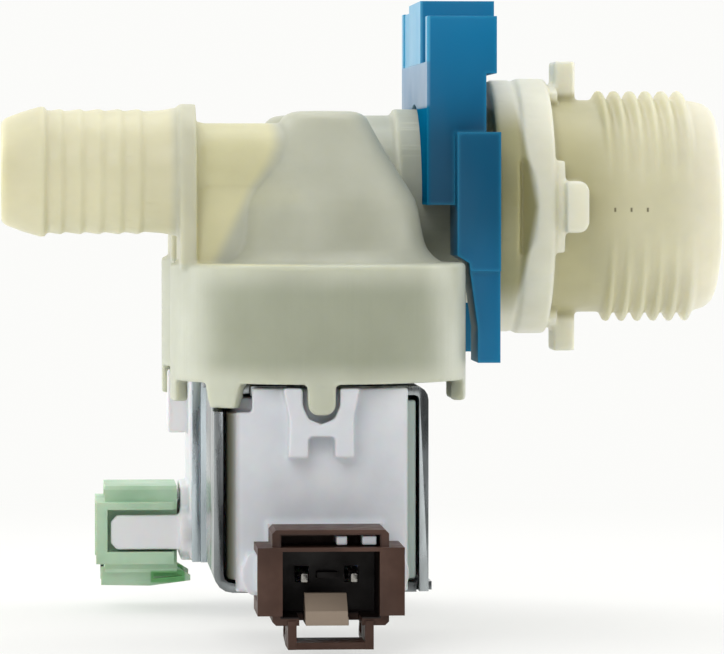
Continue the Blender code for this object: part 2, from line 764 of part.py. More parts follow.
def connector_shroud(side, frame, lift, material):
    """The keyed connector housing: main box, side wings over the coil's rails, latch and bail."""
    name = f"{side}_connector_shroud"
    corners = mm([(-6.14, -43.7 + lift), (6.14, -33.65 + lift)])
    main = rounded_rectangle(*corners[0], *corners[1], 0.4 * MM, 1)
    shroud = plate(name, [main], "Y", -23.0 * MM, -14.6 * MM, PARTS, frame, material)

    def piece(label, low, high):
        low, high = (*low[:2], low[2] + lift), (*high[:2], high[2] + lift)
        return box(f"{side}_{label}", low, high, parent=frame)

    join(shroud, piece("wings", (-7.72, -24.0, -42.6), (7.72, -15.0, -35.45)))
    for hand in (-1, 1):
        inner, outer = sorted((hand * 5.8, hand * 9.0))
        cut(shroud, piece(f"wing_window_{hand}", (inner, -22.7, -41.2), (outer, -13.0, -36.3)))
    cut(shroud, piece("mouth", (-5.1, -25.0, -42.83), (5.1, -15.6, -35.85)))
    cut(shroud, piece("slot", (-5.2, -25.0, -35.45), (5.2, -18.0, -34.2)))
    for index, (x0, x1) in enumerate(((0.6, 1.8), (3.3, 4.9))):
        cut(shroud, piece(f"window_{index}", (x0, -18.5, -35.3), (x1, -14.0, -34.3)))
    for hand in (-1, 1):
        x, z = hand * TERMINAL_X, TERMINAL_Z
        cut(shroud, piece(f"pin_hole_{hand}", (x - 0.75, -16.0, z - 0.85), (x + 0.75, -14.0, z + 0.85)))
        inner, outer = sorted((hand * 3.6 * MM, hand * 4.5 * MM))
        bail = bail_outlines(lift, BAIL_LOW_Z[side])
        join(shroud, plate(f"{side}_bail_side_{hand}", bail, "X", inner, outer, parent=frame))
    for index, (x0, x1) in enumerate(((-3.3, -2.6), (1.9, 3.3))):
        cut(shroud, piece(f"latch_gap_{index}", (x0, -24.5, -44.5), (x1, -17.0, -42.4)))
    nose = [(-23.0, -43.6), (-23.0, -42.2), (-20.6, -40.5), (-19.6, -40.5), (-19.6, -43.6)]
    nose = mm([(u, v + lift) for u, v in nose])
    join(shroud, plate(f"{side}_latch_nose", [nose], "X", -2.65 * MM, 1.8 * MM, parent=frame))
    bar_low = BAIL_LOW_Z[side]
    join(shroud, piece("bail_bar", (-4.2, -23.3, bar_low + 0.1), (4.2, -17.9, bar_low + 0.85)))
    join(shroud, piece("key_rib", (-1.1, -16.6, -39.3), (1.1, -15.2, -38.6)))


def wire_coil(name, radius, wire_r, low, high, turns, frame, material):
    """A compression spring: a helix of round wire with closed ends."""
    per_turn = 6
    count = round(turns * per_turn)
    curve = bpy.data.curves.new(name, "CURVE")
    curve.dimensions = "3D"
    curve.bevel_depth = wire_r
    curve.bevel_resolution = 1
    curve.use_fill_caps = True
    spline = curve.splines.new("POLY")
    spline.points.add(count)
    for index, point in enumerate(spline.points):
        angle = math.tau * index / per_turn
        z = low + wire_r + (high - low - 2 * wire_r) * index / count
        point.co = (radius * math.cos(angle), radius * math.sin(angle), z, 1.0)
    obj = bpy.data.objects.new(name, curve)
    PARTS.objects.link(obj)
    obj.parent = frame
    curve.materials.append(MATERIALS[material])
    return obj


def pilot_valve(side, frame):
    """The pieces in the pot: diaphragm and insert, guide tube, plunger with its seal and spring."""
    diaphragm = mm(
        [
            (7.8, -10.3),
            (9.2, -11.5),
            (11.2, -11.7),
            (12.4, -10.65),
            (14.4, -10.65),
            (14.4, -12.6),
            (12.7, -12.6),
            (11.2, -12.5),
            (9.2, -12.3),
            (7.7, -11.6),
            (3.4, -11.6),
            (3.4, -10.3),
        ]
    )
    turned(f"{side}_diaphragm", diaphragm, PARTS, frame, "rubber", 12, ring=True)
    insert = mm(
        [
            (4.0, -9.0),
            (4.0, -10.0),
            (3.05, -10.0),
            (3.05, -11.9),
            (7.2, -11.9),
            (7.2, -12.9),
            (1.7, -12.9),
            (1.2, -13.7),
            (0.5, -13.7),
            (0.5, -9.0),
        ]
    )
    turned(f"{side}_diaphragm_insert", insert, PARTS, frame, "coil", 10, ring=True)
    tube = mm(
        [
            (0, -38.8),
            (3.95, -38.8),
            (3.95, -15.9),
            (12.0, -15.9),
            (12.4, -12.9),
            (14.35, -12.9),
            (14.35, -16.6),
            (13.6, -17.3),
            (7.0, -17.3),
            (7.0, -18.7),
            (4.6, -18.9),
            (4.6, -39.2),
            (4.2, -39.6),
            (0, -39.6),
        ]
    )
    turned(f"{side}_guide_tube", tube, PARTS, frame, "black", 12)
    plunger = mm(
        [
            (0, -16.6),
            (2.35, -16.6),
            (2.35, -15.0),
            (3.3, -15.0),
            (3.6, -15.4),
            (3.6, -33.1),
            (3.3, -33.5),
            (2.6, -33.5),
            (2.6, -28.0),
            (0, -28.0),
        ]
    )
    core = turned(f"{side}_plunger", plunger, PARTS, frame, "steel", 12)
    for index in range(2):
        groove = box(f"{side}_plunger_groove_{index}", (-0.6, 3.1, -35.0), (0.6, 5.0, -14.0), parent=frame)
        groove.rotation_euler = (0.0, 0.0, math.pi * index)
        cut(core, groove)
    seal = mm([(0, -14.0), (1.9, -14.0), (2.0, -14.2), (2.0, -16.3), (0, -16.3)])
    turned(f"{side}_plunger_seal", seal, PARTS, frame, "rubber", 12)
    wire_coil(f"{side}_plunger_spring", 2.0 * MM, 0.25 * MM, -38.45 * MM, -28.35 * MM, 5, frame, "steel")


def coil_core(side, frame):
    """Bobbin, winding and the two steel sleeves that lead the flux to the guide tube."""
    bobbin = mm(
        [
            (6.6, -21.2),
            (6.6, -22.7),
            (8.6, -22.7),
            (8.6, -23.5),
            (6.6, -23.5),
            (6.6, -37.5),
            (8.6, -37.5),
            (8.6, -38.3),
            (6.6, -38.3),
            (6.6, -39.8),
            (5.9, -39.8),
            (5.9, -21.2),
        ]
    )
    turned(f"{side}_coil_bobbin", bobbin, PARTS, frame, "black", 12, ring=True)
    winding = mm([(8.5, -23.8), (8.5, -37.2), (6.9, -37.2), (6.9, -23.8)])
    turned(f"{side}_coil_winding", winding, PARTS, frame, "copper", 12, ring=True)
    for name, high, low in (("upper", -19.9, -27.5), ("lower", -33.5, -41.1)):
        sleeve = mm([(5.55, high), (5.55, low), (4.9, low), (4.9, high)])
        turned(f"{side}_flux_sleeve_{name}", sleeve, PARTS, frame, "zinc", 12, ring=True)


def coil_assembly(side, frame, lift, shroud_material):
    pilot_valve(side, frame)
    coil_core(side, frame)
    coil_overmould(side, frame, lift)
    terminals(side, frame, lift)
    yoke_upper(side, frame)
    yoke_lower(side, frame)
    connector_shroud(side, frame, lift, shroud_material)


def main():
    frames = {
        "front": coil_frame("front_coil_axis", -1, 0),
        "rear": coil_frame("rear_coil_axis", 1, -90),
    }
    valve_body(frames)
    inlet_strainer()
    flow_regulator()
    mounting_clip()
    coil_assembly("front", frames["front"], LIFT["front"], "brown")
    coil_assembly("rear", frames["rear"], LIFT["rear"], "green")


main()
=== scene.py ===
"""The looks of a washing machine's double inlet valve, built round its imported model."""

import math

import bmesh
import bpy
from mathutils import Matrix, Vector


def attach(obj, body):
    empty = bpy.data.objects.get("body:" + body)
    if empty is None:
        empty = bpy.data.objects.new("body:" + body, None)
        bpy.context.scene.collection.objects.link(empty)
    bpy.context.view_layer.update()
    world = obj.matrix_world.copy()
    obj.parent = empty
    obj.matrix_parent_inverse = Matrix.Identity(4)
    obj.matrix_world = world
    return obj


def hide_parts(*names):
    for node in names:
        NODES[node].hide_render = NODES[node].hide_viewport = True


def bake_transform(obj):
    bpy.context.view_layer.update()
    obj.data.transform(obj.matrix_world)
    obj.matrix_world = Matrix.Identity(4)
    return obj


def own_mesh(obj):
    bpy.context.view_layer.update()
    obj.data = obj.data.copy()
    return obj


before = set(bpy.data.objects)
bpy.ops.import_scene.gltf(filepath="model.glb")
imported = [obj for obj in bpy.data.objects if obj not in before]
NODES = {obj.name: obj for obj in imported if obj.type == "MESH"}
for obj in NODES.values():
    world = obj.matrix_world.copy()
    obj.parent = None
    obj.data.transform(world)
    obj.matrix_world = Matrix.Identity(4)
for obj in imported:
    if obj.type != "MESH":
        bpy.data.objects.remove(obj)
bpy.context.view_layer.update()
MM = 0.001

# Camera: the photograph's frame, the inlet origin's place in it and the scale there
IMAGE_WIDTH = 724
IMAGE_HEIGHT = 654
ORIGIN_PIXEL = (543.0, 206.0)
PIXELS_PER_MM = 8.77
FOCAL_PIXELS = 4600.0
CAMERA_AZIMUTH = math.radians(3.9)
CAMERA_ELEVATION = math.radians(1.9)
SENSOR_MM = 36.0

# Body, in millimetres
POT_X = -26.82
POT_Y = 18.8
POT_R = 16.2
POT_WALL = 1.5
DOME_X = -26.1
GUIDE_X = -0.5
BARB_Z = 3.9
BARB_TEETH = 5
BARB_FIRST_X = -46.35
BARB_PITCH = 2.12
COLLAR_R = 7.4
COLLAR_X = (-42.1, -40.27)
WEB_R = 4.8
WEB_HALF = 6.9
WEB_X = (-40.77, -30.5)
POT_BOTTOM_Z = -18.75
THREAD_PITCH = 1.814
THREAD_START_X = 5.75
THREAD_TURNS = 6
THREAD_ROOT_R = 12.06
THREAD_CREST_R = 13.16
THREAD_FADE = 0.88
PARTING_NOTCHES = (6.8, 8.63, 10.46)

# Coils and the pieces in the pots, in millimetres
CONNECTOR_LIFT = {"front": 0.0, "rear": 1.0}
DIAPHRAGM_WEDGES = 8
TURNED_ROUNDING = 0.2
WINDING_LOW_Z = -37.2
WINDING_TOP_Z = -23.8
WINDING_INNER_R = 6.9
WINDING_OUTER_R = 8.45
COPPER_WIRE_R = 0.2
SPRING_LOW_Z = -38.45
SPRING_TOP_Z = -28.35
SPRING_R = 2.0
SPRING_WIRE_R = 0.25
SPRING_TURNS = 7
SPRING_END_SHARE = 0.07

# Fineness of the meshes
ROUND_STEPS = 112
THREAD_STEPS = 80
BODY_VOXEL = 0.26
COIL_VOXEL = 0.22
BODY_TRIANGLES = 190000
COIL_TRIANGLES = 90000
SMALL_STEPS = 48


# Mesh tools


def new_mesh_object(name, bm):
    """An object in the scene made of the mesh, with its faces turned outwards."""
    bmesh.ops.recalc_face_normals(bm, faces=bm.faces)
    mesh = bpy.data.meshes.new(name)
    bm.to_mesh(mesh)
    bm.free()
    obj = bpy.data.objects.new(name, mesh)
    bpy.context.scene.collection.objects.link(obj)
    return obj


def turned(name, profile, steps=ROUND_STEPS, ring=False):
    """A turned solid about +Z from (radius, height) points in millimetres."""
    bm = bmesh.new()
    points = [bm.verts.new((r * MM, 0.0, h * MM)) for r, h in profile]
    pairs = list(zip(points, points[1:]))
    if ring:
        pairs.append((points[-1], points[0]))
    edges = [bm.edges.new(pair) for pair in pairs]
    bmesh.ops.spin(
        bm,
        geom=points + edges,
        axis=(0, 0, 1),
        cent=(0, 0, 0),
        angle=math.tau,
        steps=steps,
        use_merge=True,
    )
    bmesh.ops.remove_doubles(bm, verts=bm.verts, dist=1e-6)
    return new_mesh_object(name, bm)


def lofted(name, sections):
    """A closed solid through sections, each with the same number of points in millimetres."""
    bm = bmesh.new()
    rings = [[bm.verts.new(Vector(point) * MM) for point in section] for section in sections]
    count = len(rings[0])
    for first, second in zip(rings, rings[1:]):
        for i in range(count):
            j = (i + 1) % count
            bm.faces.new((first[i], first[j], second[j], second[i]))
    bm.faces.new(rings[0])
    bm.faces.new(rings[-1])
    return new_mesh_object(name, bm)


def move(obj, matrix):
    """Moves the object's points and gives the object back."""
    obj.data.transform(matrix)
    return obj


def turned_x(name, profile, y=0.0, z=0.0, steps=ROUND_STEPS):
    """A turned solid about an axis along X, from (radius, x) points."""
    place = Matrix.Translation((0, y * MM, z * MM)) @ Matrix.Rotation(math.pi / 2, 4, "Y")
    return move(turned(name, profile, steps), place)


def turned_at(name, profile, x, y):
    """A turned solid about an upright axis at a place in millimetres."""
    return move(turned(name, profile), Matrix.Translation((x * MM, y * MM, 0)))


def box(name, low, high):
    """A block between two corners in millimetres."""
    low, high = Vector(low) * MM, Vector(high) * MM
    bm = bmesh.new()
    shape = Matrix.Translation((low + high) / 2) @ Matrix.Diagonal((*(high - low), 1.0))
    bmesh.ops.create_cube(bm, size=1.0, matrix=shape)
    return new_mesh_object(name, bm)


def hull(name, corners):
    """The convex solid with these corners."""
    bm = bmesh.new()
    for corner in corners:
        bm.verts.new(Vector(corner) * MM)
    bmesh.ops.convex_hull(bm, input=bm.verts)
    return new_mesh_object(name, bm)


AXES = {
    "X": Matrix(((0, 0, 1, 0), (1, 0, 0, 0), (0, 1, 0, 0), (0, 0, 0, 1))),
    "Y": Matrix(((1, 0, 0, 0), (0, 0, 1, 0), (0, 1, 0, 0), (0, 0, 0, 1))),
    "Z": Matrix.Identity(4),
}


def plate(name, outline, axis, low, high):
    """A flat outline in millimetres, as a plate between two places on its axis."""
    bm = bmesh.new()
    face = bm.faces.new([bm.verts.new((u * MM, v * MM, low * MM)) for u, v in outline])
    made = bmesh.ops.extrude_face_region(bm, geom=[face])
    top = [item for item in made["geom"] if isinstance(item, bmesh.types.BMVert)]
    bmesh.ops.translate(bm, verts=top, vec=(0, 0, (high - low) * MM))
    bmesh.ops.transform(bm, matrix=AXES[axis], verts=bm.verts)
    return new_mesh_object(name, bm)


def arc(cx, cy, radius, start, end, count):
    """Points on an arc, with angles in degrees."""
    angles = (math.radians(start + (end - start) * i / count) for i in range(count + 1))
    return [(cx + radius * math.cos(a), cy + radius * math.sin(a)) for a in angles]


def apply_modifiers(obj):
    """Replaces the object's mesh by what its modifiers make of it."""
    graph = bpy.context.evaluated_depsgraph_get()
    mesh = bpy.data.meshes.new_from_object(obj.evaluated_get(graph))
    obj.modifiers.clear()
    old = obj.data
    obj.data = mesh
    bpy.data.meshes.remove(old)


def mesh_of(node):
    """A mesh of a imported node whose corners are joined."""
    bm = bmesh.new()
    bm.from_mesh(node.data)
    bmesh.ops.remove_doubles(bm, verts=bm.verts, dist=2e-6)
    return bm


def shade_smooth(obj, angle):
    """Smooth shading, with the edges sharp that turn by more than the angle in degrees."""
    obj.data.shade_smooth()
    obj.data.set_sharp_from_angle(angle=math.radians(angle))


def mould(obj, voxel, triangles):
    """Turns a sharp solid into a softly moulded one, with this many triangles at most."""
    grid = obj.modifiers.new("remesh", "REMESH")
    grid.mode = "VOXEL"
    grid.voxel_size = voxel * MM
    apply_modifiers(obj)
    smooth = obj.modifiers.new("smooth", "SMOOTH")
    smooth.factor = 0.5
    smooth.iterations = 2
    thin = obj.modifiers.new("thin", "DECIMATE")
    thin.ratio = min(1.0, triangles / (2 * len(obj.data.polygons)))
    apply_modifiers(obj)
    shade_smooth(obj, 60)


# Body


def nozzle_profile():
    """The outside from the threaded nozzle back to the end of the neck, as (radius, x)."""
    return [
        (0, 19.2),
        (10.5, 19.2),
        (11.15, 18.85),
        (11.6, 18.2),
        (11.9, 17.2),
        (12.06, 16.0),
        (12.06, 4.0),
        (12.4, 0.4),
        (12.8, 0.0),
        (14.25, 0.0),
        (14.5, -0.25),
        (14.5, -3.3),
        (14.2, -3.6),
        (12.5, -3.6),
        (12.5, -4.0),
        (14.2, -4.0),
        (14.3, -4.1),
        (14.3, -6.4),
        (14.2, -6.5),
        (11.0, -6.5),
        (11.0, -17.3),
        (10.3, -17.3),
        (10.3, -20.6),
        (9.9, -21.5),
        (9.0, -22.1),
        (0, -22.4),
    ]


def thread_ridge():
    """The helical ridge of the thread, which runs out at both ends."""
    count = THREAD_STEPS * THREAD_TURNS
    run_out = THREAD_STEPS // 4
    flank = 0.86
    crest = 0.2
    base = THREAD_ROOT_R - 0.35
    sections = []
    for index in range(count + 1):
        angle = math.tau * (index / THREAD_STEPS - 0.25)
        x = THREAD_START_X + THREAD_PITCH * index / THREAD_STEPS
        rise = min(1.0, index / run_out, (count - index) / run_out)
        # The mould parts at the sides, where the thread is shallower
        rise *= 1.0 - THREAD_FADE * math.sin(angle) ** 2
        top = base + 0.2 + (THREAD_CREST_R - base - 0.2) * rise
        ridge = ((x - flank, base), (x - crest, top), (x + crest, top), (x + flank, base))
        sections.append([(along, -r * math.sin(angle), r * math.cos(angle)) for along, r in ridge])
    return lofted("thread", sections)


def bayonet_lug(index):
    """One lug: a ledge as thick as the panel with a narrower tip on it, both with round corners."""
    base = arc(0, 0, 13.8, 68.0, 112.0, 12) + [(-4.9, 11.0), (4.9, 11.0)]
    ledge = plate("ledge", base, "X", -0.5, 1.1)
    outline = (
        [(0.9, -2.85)]
        + arc(2.3, -1.75, 1.1, -90, 0, 5)
        + arc(2.3, 1.75, 1.1, 0, 90, 5)
        + [(0.9, 2.85)]
    )
    tip = plate("tip", outline, "Z", 11.0, 16.4)
    turn = Matrix.Rotation(index * math.tau / 4, 4, "X")
    return [move(piece, turn) for piece in (ledge, tip)]


def plate_scoops():
    """Cuts that thin the back of the panel plate towards its two sides."""
    scoops = []
    for side in (-1, 1):
        corners = [(-3.85, side * 16.0, z) for z in (-11.7, 11.7)]
        corners += [(-0.6, side * 16.0, z) for z in (-1.8, 1.8)]
        corners += [(-3.85, side * 12.3, z) for z in (-5.0, 5.0)]
        scoops.append(hull("scoop", corners))
    return scoops


def barb_profile():
    """The outside of an outlet tube and its barb, from the dome out to the tip."""
    profile = [(0, -24.0), (5.3, -24.0), (5.3, -39.4), (5.6, -40.4), (7.0, -41.0), (7.0, -42.4)]
    profile += [(6.72, -43.9), (6.58, -45.9)]
    for index in range(BARB_TEETH):
        crest = BARB_FIRST_X - BARB_PITCH * index
        profile += [(6.56, crest + 0.12), (6.86, crest), (6.84, crest - 0.2)]
    profile += [(6.6, -56.5), (7.12, -56.7), (7.12, -57.1), (6.5, -59.2), (5.85, -60.9)]
    return profile + [(5.4, -61.4), (0, -61.4)]


def dome_profile():
    """The outside of a dome down to the pot's top, as (radius, height)."""
    return [
        (0, 10.55),
        (2.8, 10.52),
        (3.6, 10.4),
        (4.2, 10.15),
        (4.7, 9.7),
        (5.2, 8.7),
        (6.9, 5.7),
        (9.2, 2.1),
        (9.9, 0.9),
        (10.3, -0.3),
        (10.55, -1.9),
        (10.9, -3.6),
        (11.3, -4.6),
        (12.1, -5.5),
        (13.2, -6.1),
        (13.2, -7.0),
        (0, -7.0),
    ]


def hollow_profile():
    """The space in a dome and its pot, with the valve seat's tube standing in it."""
    return [
        (0, 8.7),
        (3.0, 8.5),
        (4.9, 5.6),
        (7.2, 1.9),
        (8.5, -0.6),
        (8.9, -3.0),
        (9.6, -6.0),
        (4.4, -6.0),
        (4.4, -10.0),
        (6.2, -10.0),
        (6.2, -7.6),
        (13.2, -7.6),
        (13.2, -10.3),
        (14.7, -10.3),
        (14.7, -20.2),
        (0, -20.2),
    ]


def coil_frames():
    """The frames of the two coils: side name to matrix, with the connector towards -Y."""
    front = Matrix.Translation((POT_X * MM, -POT_Y * MM, 0))
    rear = Matrix.Translation((POT_X * MM, POT_Y * MM, 0)) @ Matrix.Rotation(-math.pi / 2, 4, "Z")
    return {"front": front, "rear": rear}


def wall_sector(start, end, low, taper=0.0):
    """A foot that carries the pot's wall further down, between two angles that may close in."""
    count = 10
    top = POT_BOTTOM_Z + 1.0
    inner = POT_R - POT_WALL
    corners = ((POT_R, top, 0.0), (POT_R, low, taper), (inner, low, taper), (inner, top, 0.0))
    sections = []
    for index in range(count + 1):
        section = []
        for radius, height, inset in corners:
            first, last = math.radians(start + inset), math.radians(end - inset)
            angle = first + (last - first) * index / count
            section.append((radius * math.cos(angle), radius * math.sin(angle), height))
        sections.append(section)
    return lofted("foot", sections)


def skirt(place):
    """Feet at both ends of the pot, a tapered corner tab and the keyed tab."""
    sectors = ((167, 193, -21.05, 0.0), (-13, 13, -21.05, 0.0), (216.5, 236.5, -21.4, 4.0))
    pieces = [wall_sector(*sector) for sector in sectors]
    half = ((1.5, -18.2), (1.5, -20.9), (1.3, -21.5), (0.7, -22.0))
    key = [(GUIDE_X - u, v) for u, v in half] + [(GUIDE_X + u, v) for u, v in reversed(half)]
    pieces.append(plate("key", key, "Y", -16.15, -14.8))
    return [move(piece, place) for piece in pieces]


def arch(y, radius, foot_half):
    """A round top about an outlet tube, with sides that run down into the pot's top."""
    return arc(y, BARB_Z, radius, -3, 183, 32) + [(y - foot_half, -6.5), (y + foot_half, -6.5)]


def body_shapes():
    """The solids that make up the body; the first one takes in the others."""
    shapes = [turned_x("nozzle", nozzle_profile()), thread_ridge()]
    shapes.append(box("gallery_block", (-22.5, -8.5, -12.0), (-14.0, 8.5, -5.0)))
    for index in range(4):
        shapes += bayonet_lug(index)
    for place in coil_frames().values():
        y = place.translation.y / MM
        pot = [(0, -6.0), (POT_R - 0.3, -6.0), (POT_R - 0.1, -6.1), (POT_R, -6.4)]
        pot += [(POT_R, POT_BOTTOM_Z), (0, POT_BOTTOM_Z)]
        shapes.append(turned_at("pot", pot, POT_X, y))
        shapes.append(turned_at("dome", dome_profile(), DOME_X, y))
        shapes.append(turned_x("barb", barb_profile(), y, BARB_Z, ROUND_STEPS // 2))
        shapes.append(plate("collar", arch(y, COLLAR_R, COLLAR_R), "X", *COLLAR_X))
        shapes.append(plate("web", arch(y, WEB_R, WEB_HALF), "X", *WEB_X))
        shapes += skirt(place)
    return shapes


def body_hollows():
    """The water's way: the inlet, the gallery to both pots, the pots and the outlets."""
    bore = [(0, 20.2), (10.4, 20.2), (9.7, 18.6), (9.7, -6.0), (8.8, -6.0), (8.8, -19.6), (0, -19.6)]
    outlet = [(0, -26.5), (4.1, -26.5), (4.1, -40.0), (4.6, -42.0), (4.6, -60.6), (5.0, -62.0)]
    outlet.append((0, -62.0))
    hollows = [turned_x("inlet_bore", bore)]
    hollows.append(box("gallery", (-22.0, -12.2, -9.4), (-14.6, 12.2, -7.75)))
    hollows += plate_scoops()
    for side in (-1, 1):
        hollows.append(turned_at("hollow", hollow_profile(), POT_X, side * POT_Y))
        hollows.append(turned_x("outlet_bore", outlet, side * POT_Y, BARB_Z, ROUND_STEPS // 2))
    return hollows


def combine(target, cutters, operation):
    """Adds every piece to the target, or takes it away, in one Boolean; the pieces may overlap."""
    group = bpy.data.collections.new("cutters")
    bpy.context.scene.collection.children.link(group)
    for cutter in cutters:
        bpy.context.scene.collection.objects.unlink(cutter)
        group.objects.link(cutter)
    modifier = target.modifiers.new("cut", "BOOLEAN")
    modifier.operation = operation
    modifier.operand_type = "COLLECTION"
    modifier.collection = group
    modifier.solver = "EXACT"
    apply_modifiers(target)
    for cutter in cutters:
        bpy.data.objects.remove(cutter)
    bpy.data.collections.remove(group)


def valve_body():
    """The one-piece nylon body."""
    shapes = body_shapes()
    body = shapes.pop(0)
    body.name = "body_moulding"
    combine(body, shapes, "UNION")
    combine(body, body_hollows(), "DIFFERENCE")
    mould(body, BODY_VOXEL, BODY_TRIANGLES)
    return body


# Materials

# Tones of the cream nylon: painted light and shade over one body; NYLON_SOLID is its plain tone
NYLON_SOLID = (0.68, 0.65, 0.45)
NYLON_NOSE_LIGHT = (0.82, 0.79, 0.645)
NYLON_OLIVE_SHADE = (0.50, 0.47, 0.27)
NYLON_RIM_GLOW = (0.80, 0.785, 0.645)
NYLON_RECESS_SHADE = (0.44, 0.41, 0.21)
NYLON_TUBE_SHADE = (0.65, 0.62, 0.385)
NYLON_DOME_SHADE = (0.47, 0.48, 0.385)
NYLON_COLLAR_SHADE = (0.565, 0.56, 0.43)
NYLON_POT_SHADE = (0.36, 0.38, 0.285)
NYLON_POT_RIM_LIGHT = (0.52, 0.54, 0.44)
NYLON_NOTCH_SHADE = (0.16, 0.14, 0.07)

# The range in which noise mostly lies
NOISE_LOW = 0.3
NOISE_HIGH = 0.7


def add_node(tree, kind, inputs=None, **settings):
    """A shader node with its settings; an input is a plain value or another node's socket."""
    node = tree.nodes.new(kind)
    for key, value in settings.items():
        setattr(node, key, value)
    for key, value in (inputs or {}).items():
        if isinstance(value, bpy.types.NodeSocket):
            tree.links.new(value, node.inputs[key])
        else:
            node.inputs[key].default_value = value
    return node


def noise(tree, size, stretch=(1, 1, 1), detail=3.0):
    """Noise in object space whose features are about size millimetres, stretched along the axes."""
    place = add_node(tree, "ShaderNodeTexCoord").outputs["Object"]
    mapping = add_node(tree, "ShaderNodeMapping", {"Vector": place})
    mapping.inputs["Scale"].default_value = [1.0 / (size * MM * axis) for axis in stretch]
    texture = add_node(tree, "ShaderNodeTexNoise", {"Vector": mapping.outputs["Vector"]})
    texture.inputs["Scale"].default_value = 1.0
    texture.inputs["Detail"].default_value = detail
    return texture.outputs["Fac"]


def map_range(tree, value, low, high, start, end, kind="LINEAR"):
    """Gives start where the value is low, end where it is high, and a mix in between."""
    numbers = {"From Min": low, "From Max": high, "To Min": start, "To Max": end}
    settings = {"Value": value, **numbers}
    return add_node(tree, "ShaderNodeMapRange", settings, interpolation_type=kind).outputs["Result"]


def tones(tree, factor, colours):
    """A colour ramp through the given colours, over the range in which noise mostly lies."""
    ramp = add_node(tree, "ShaderNodeValToRGB", {"Fac": factor})
    elements = ramp.color_ramp.elements
    while len(elements) < len(colours):
        elements.new(0.5)
    for index, colour in enumerate(colours):
        elements[index].position = NOISE_LOW + (NOISE_HIGH - NOISE_LOW) * index / (len(colours) - 1)
        elements[index].color = (*colour, 1.0)
    return ramp.outputs["Color"]


def finish_material(
    name, colours, roughness, size=9.0, grain=0.35, depth=0.02, stretch=(1, 1, 1), **values
):
    """A moulded or metal surface: mottled colour, uneven gloss and a fine raised grain."""
    material = bpy.data.materials.new(name)
    material.use_nodes = True
    tree = material.node_tree
    shader = tree.nodes["Principled BSDF"]
    tree.links.new(tones(tree, noise(tree, size, stretch), colours), shader.inputs["Base Color"])
    spread = noise(tree, size * 0.4, stretch)
    rough = map_range(tree, spread, NOISE_LOW, NOISE_HIGH, *roughness)
    tree.links.new(rough, shader.inputs["Roughness"])
    bump = add_node(
        tree,
        "ShaderNodeBump",
        {"Height": noise(tree, grain, stretch, 2.0), "Strength": 0.6, "Distance": depth * MM},
    )
    tree.links.new(bump.outputs["Normal"], shader.inputs["Normal"])
    for key, value in values.items():
        shader.inputs[key.replace("_", " ").title().replace("Ior", "IOR")].default_value = value
    return material


def ramp_along(tree, value, start, end):
    """0 before the first value and 1 after the second, in millimetres; they may run backwards."""
    low, high = sorted((start, end))
    levels = (0.0, 1.0) if start < end else (1.0, 0.0)
    return map_range(tree, value, low * MM, high * MM, *levels, "SMOOTHSTEP")


def math_node(tree, operation, first, second):
    """The result of one sum or product of two values."""
    return add_node(tree, "ShaderNodeMath", {0: first, 1: second}, operation=operation).outputs[0]


def inside_box(tree, low, high, fade=0.15):
    """1 inside a box between two corners in millimetres, 0 outside."""
    place = add_node(tree, "ShaderNodeTexCoord").outputs["Object"]
    split = add_node(tree, "ShaderNodeSeparateXYZ", {"Vector": place})
    found = None
    for axis, start, end in zip("XYZ", low, high):
        value = split.outputs[axis]
        rise = ramp_along(tree, value, start - fade, start)
        fall = ramp_along(tree, value, end + fade, end)
        both = math_node(tree, "MULTIPLY", rise, fall)
        found = both if found is None else math_node(tree, "MULTIPLY", found, both)
    return found


def tint(material, *tints):
    """Mixes colours into a finished material, each by its own factor."""
    tree = material.node_tree
    socket = tree.nodes["Principled BSDF"].inputs["Base Color"]
    for factor, colour in tints:
        tree.links.new(mix_colour(tree, factor, socket.links[0].from_socket, colour), socket)
    return material


def mix_colour(tree, factor, first, second):
    """The first colour where the factor is 0 and the second where it is 1."""
    node = add_node(tree, "ShaderNodeMix", data_type="RGBA")
    for index, value in ((0, factor), (6, first), (7, second)):
        if isinstance(value, bpy.types.NodeSocket):
            tree.links.new(value, node.inputs[index])
        else:
            node.inputs[index].default_value = (*value, 1.0)
    return node.outputs[2]


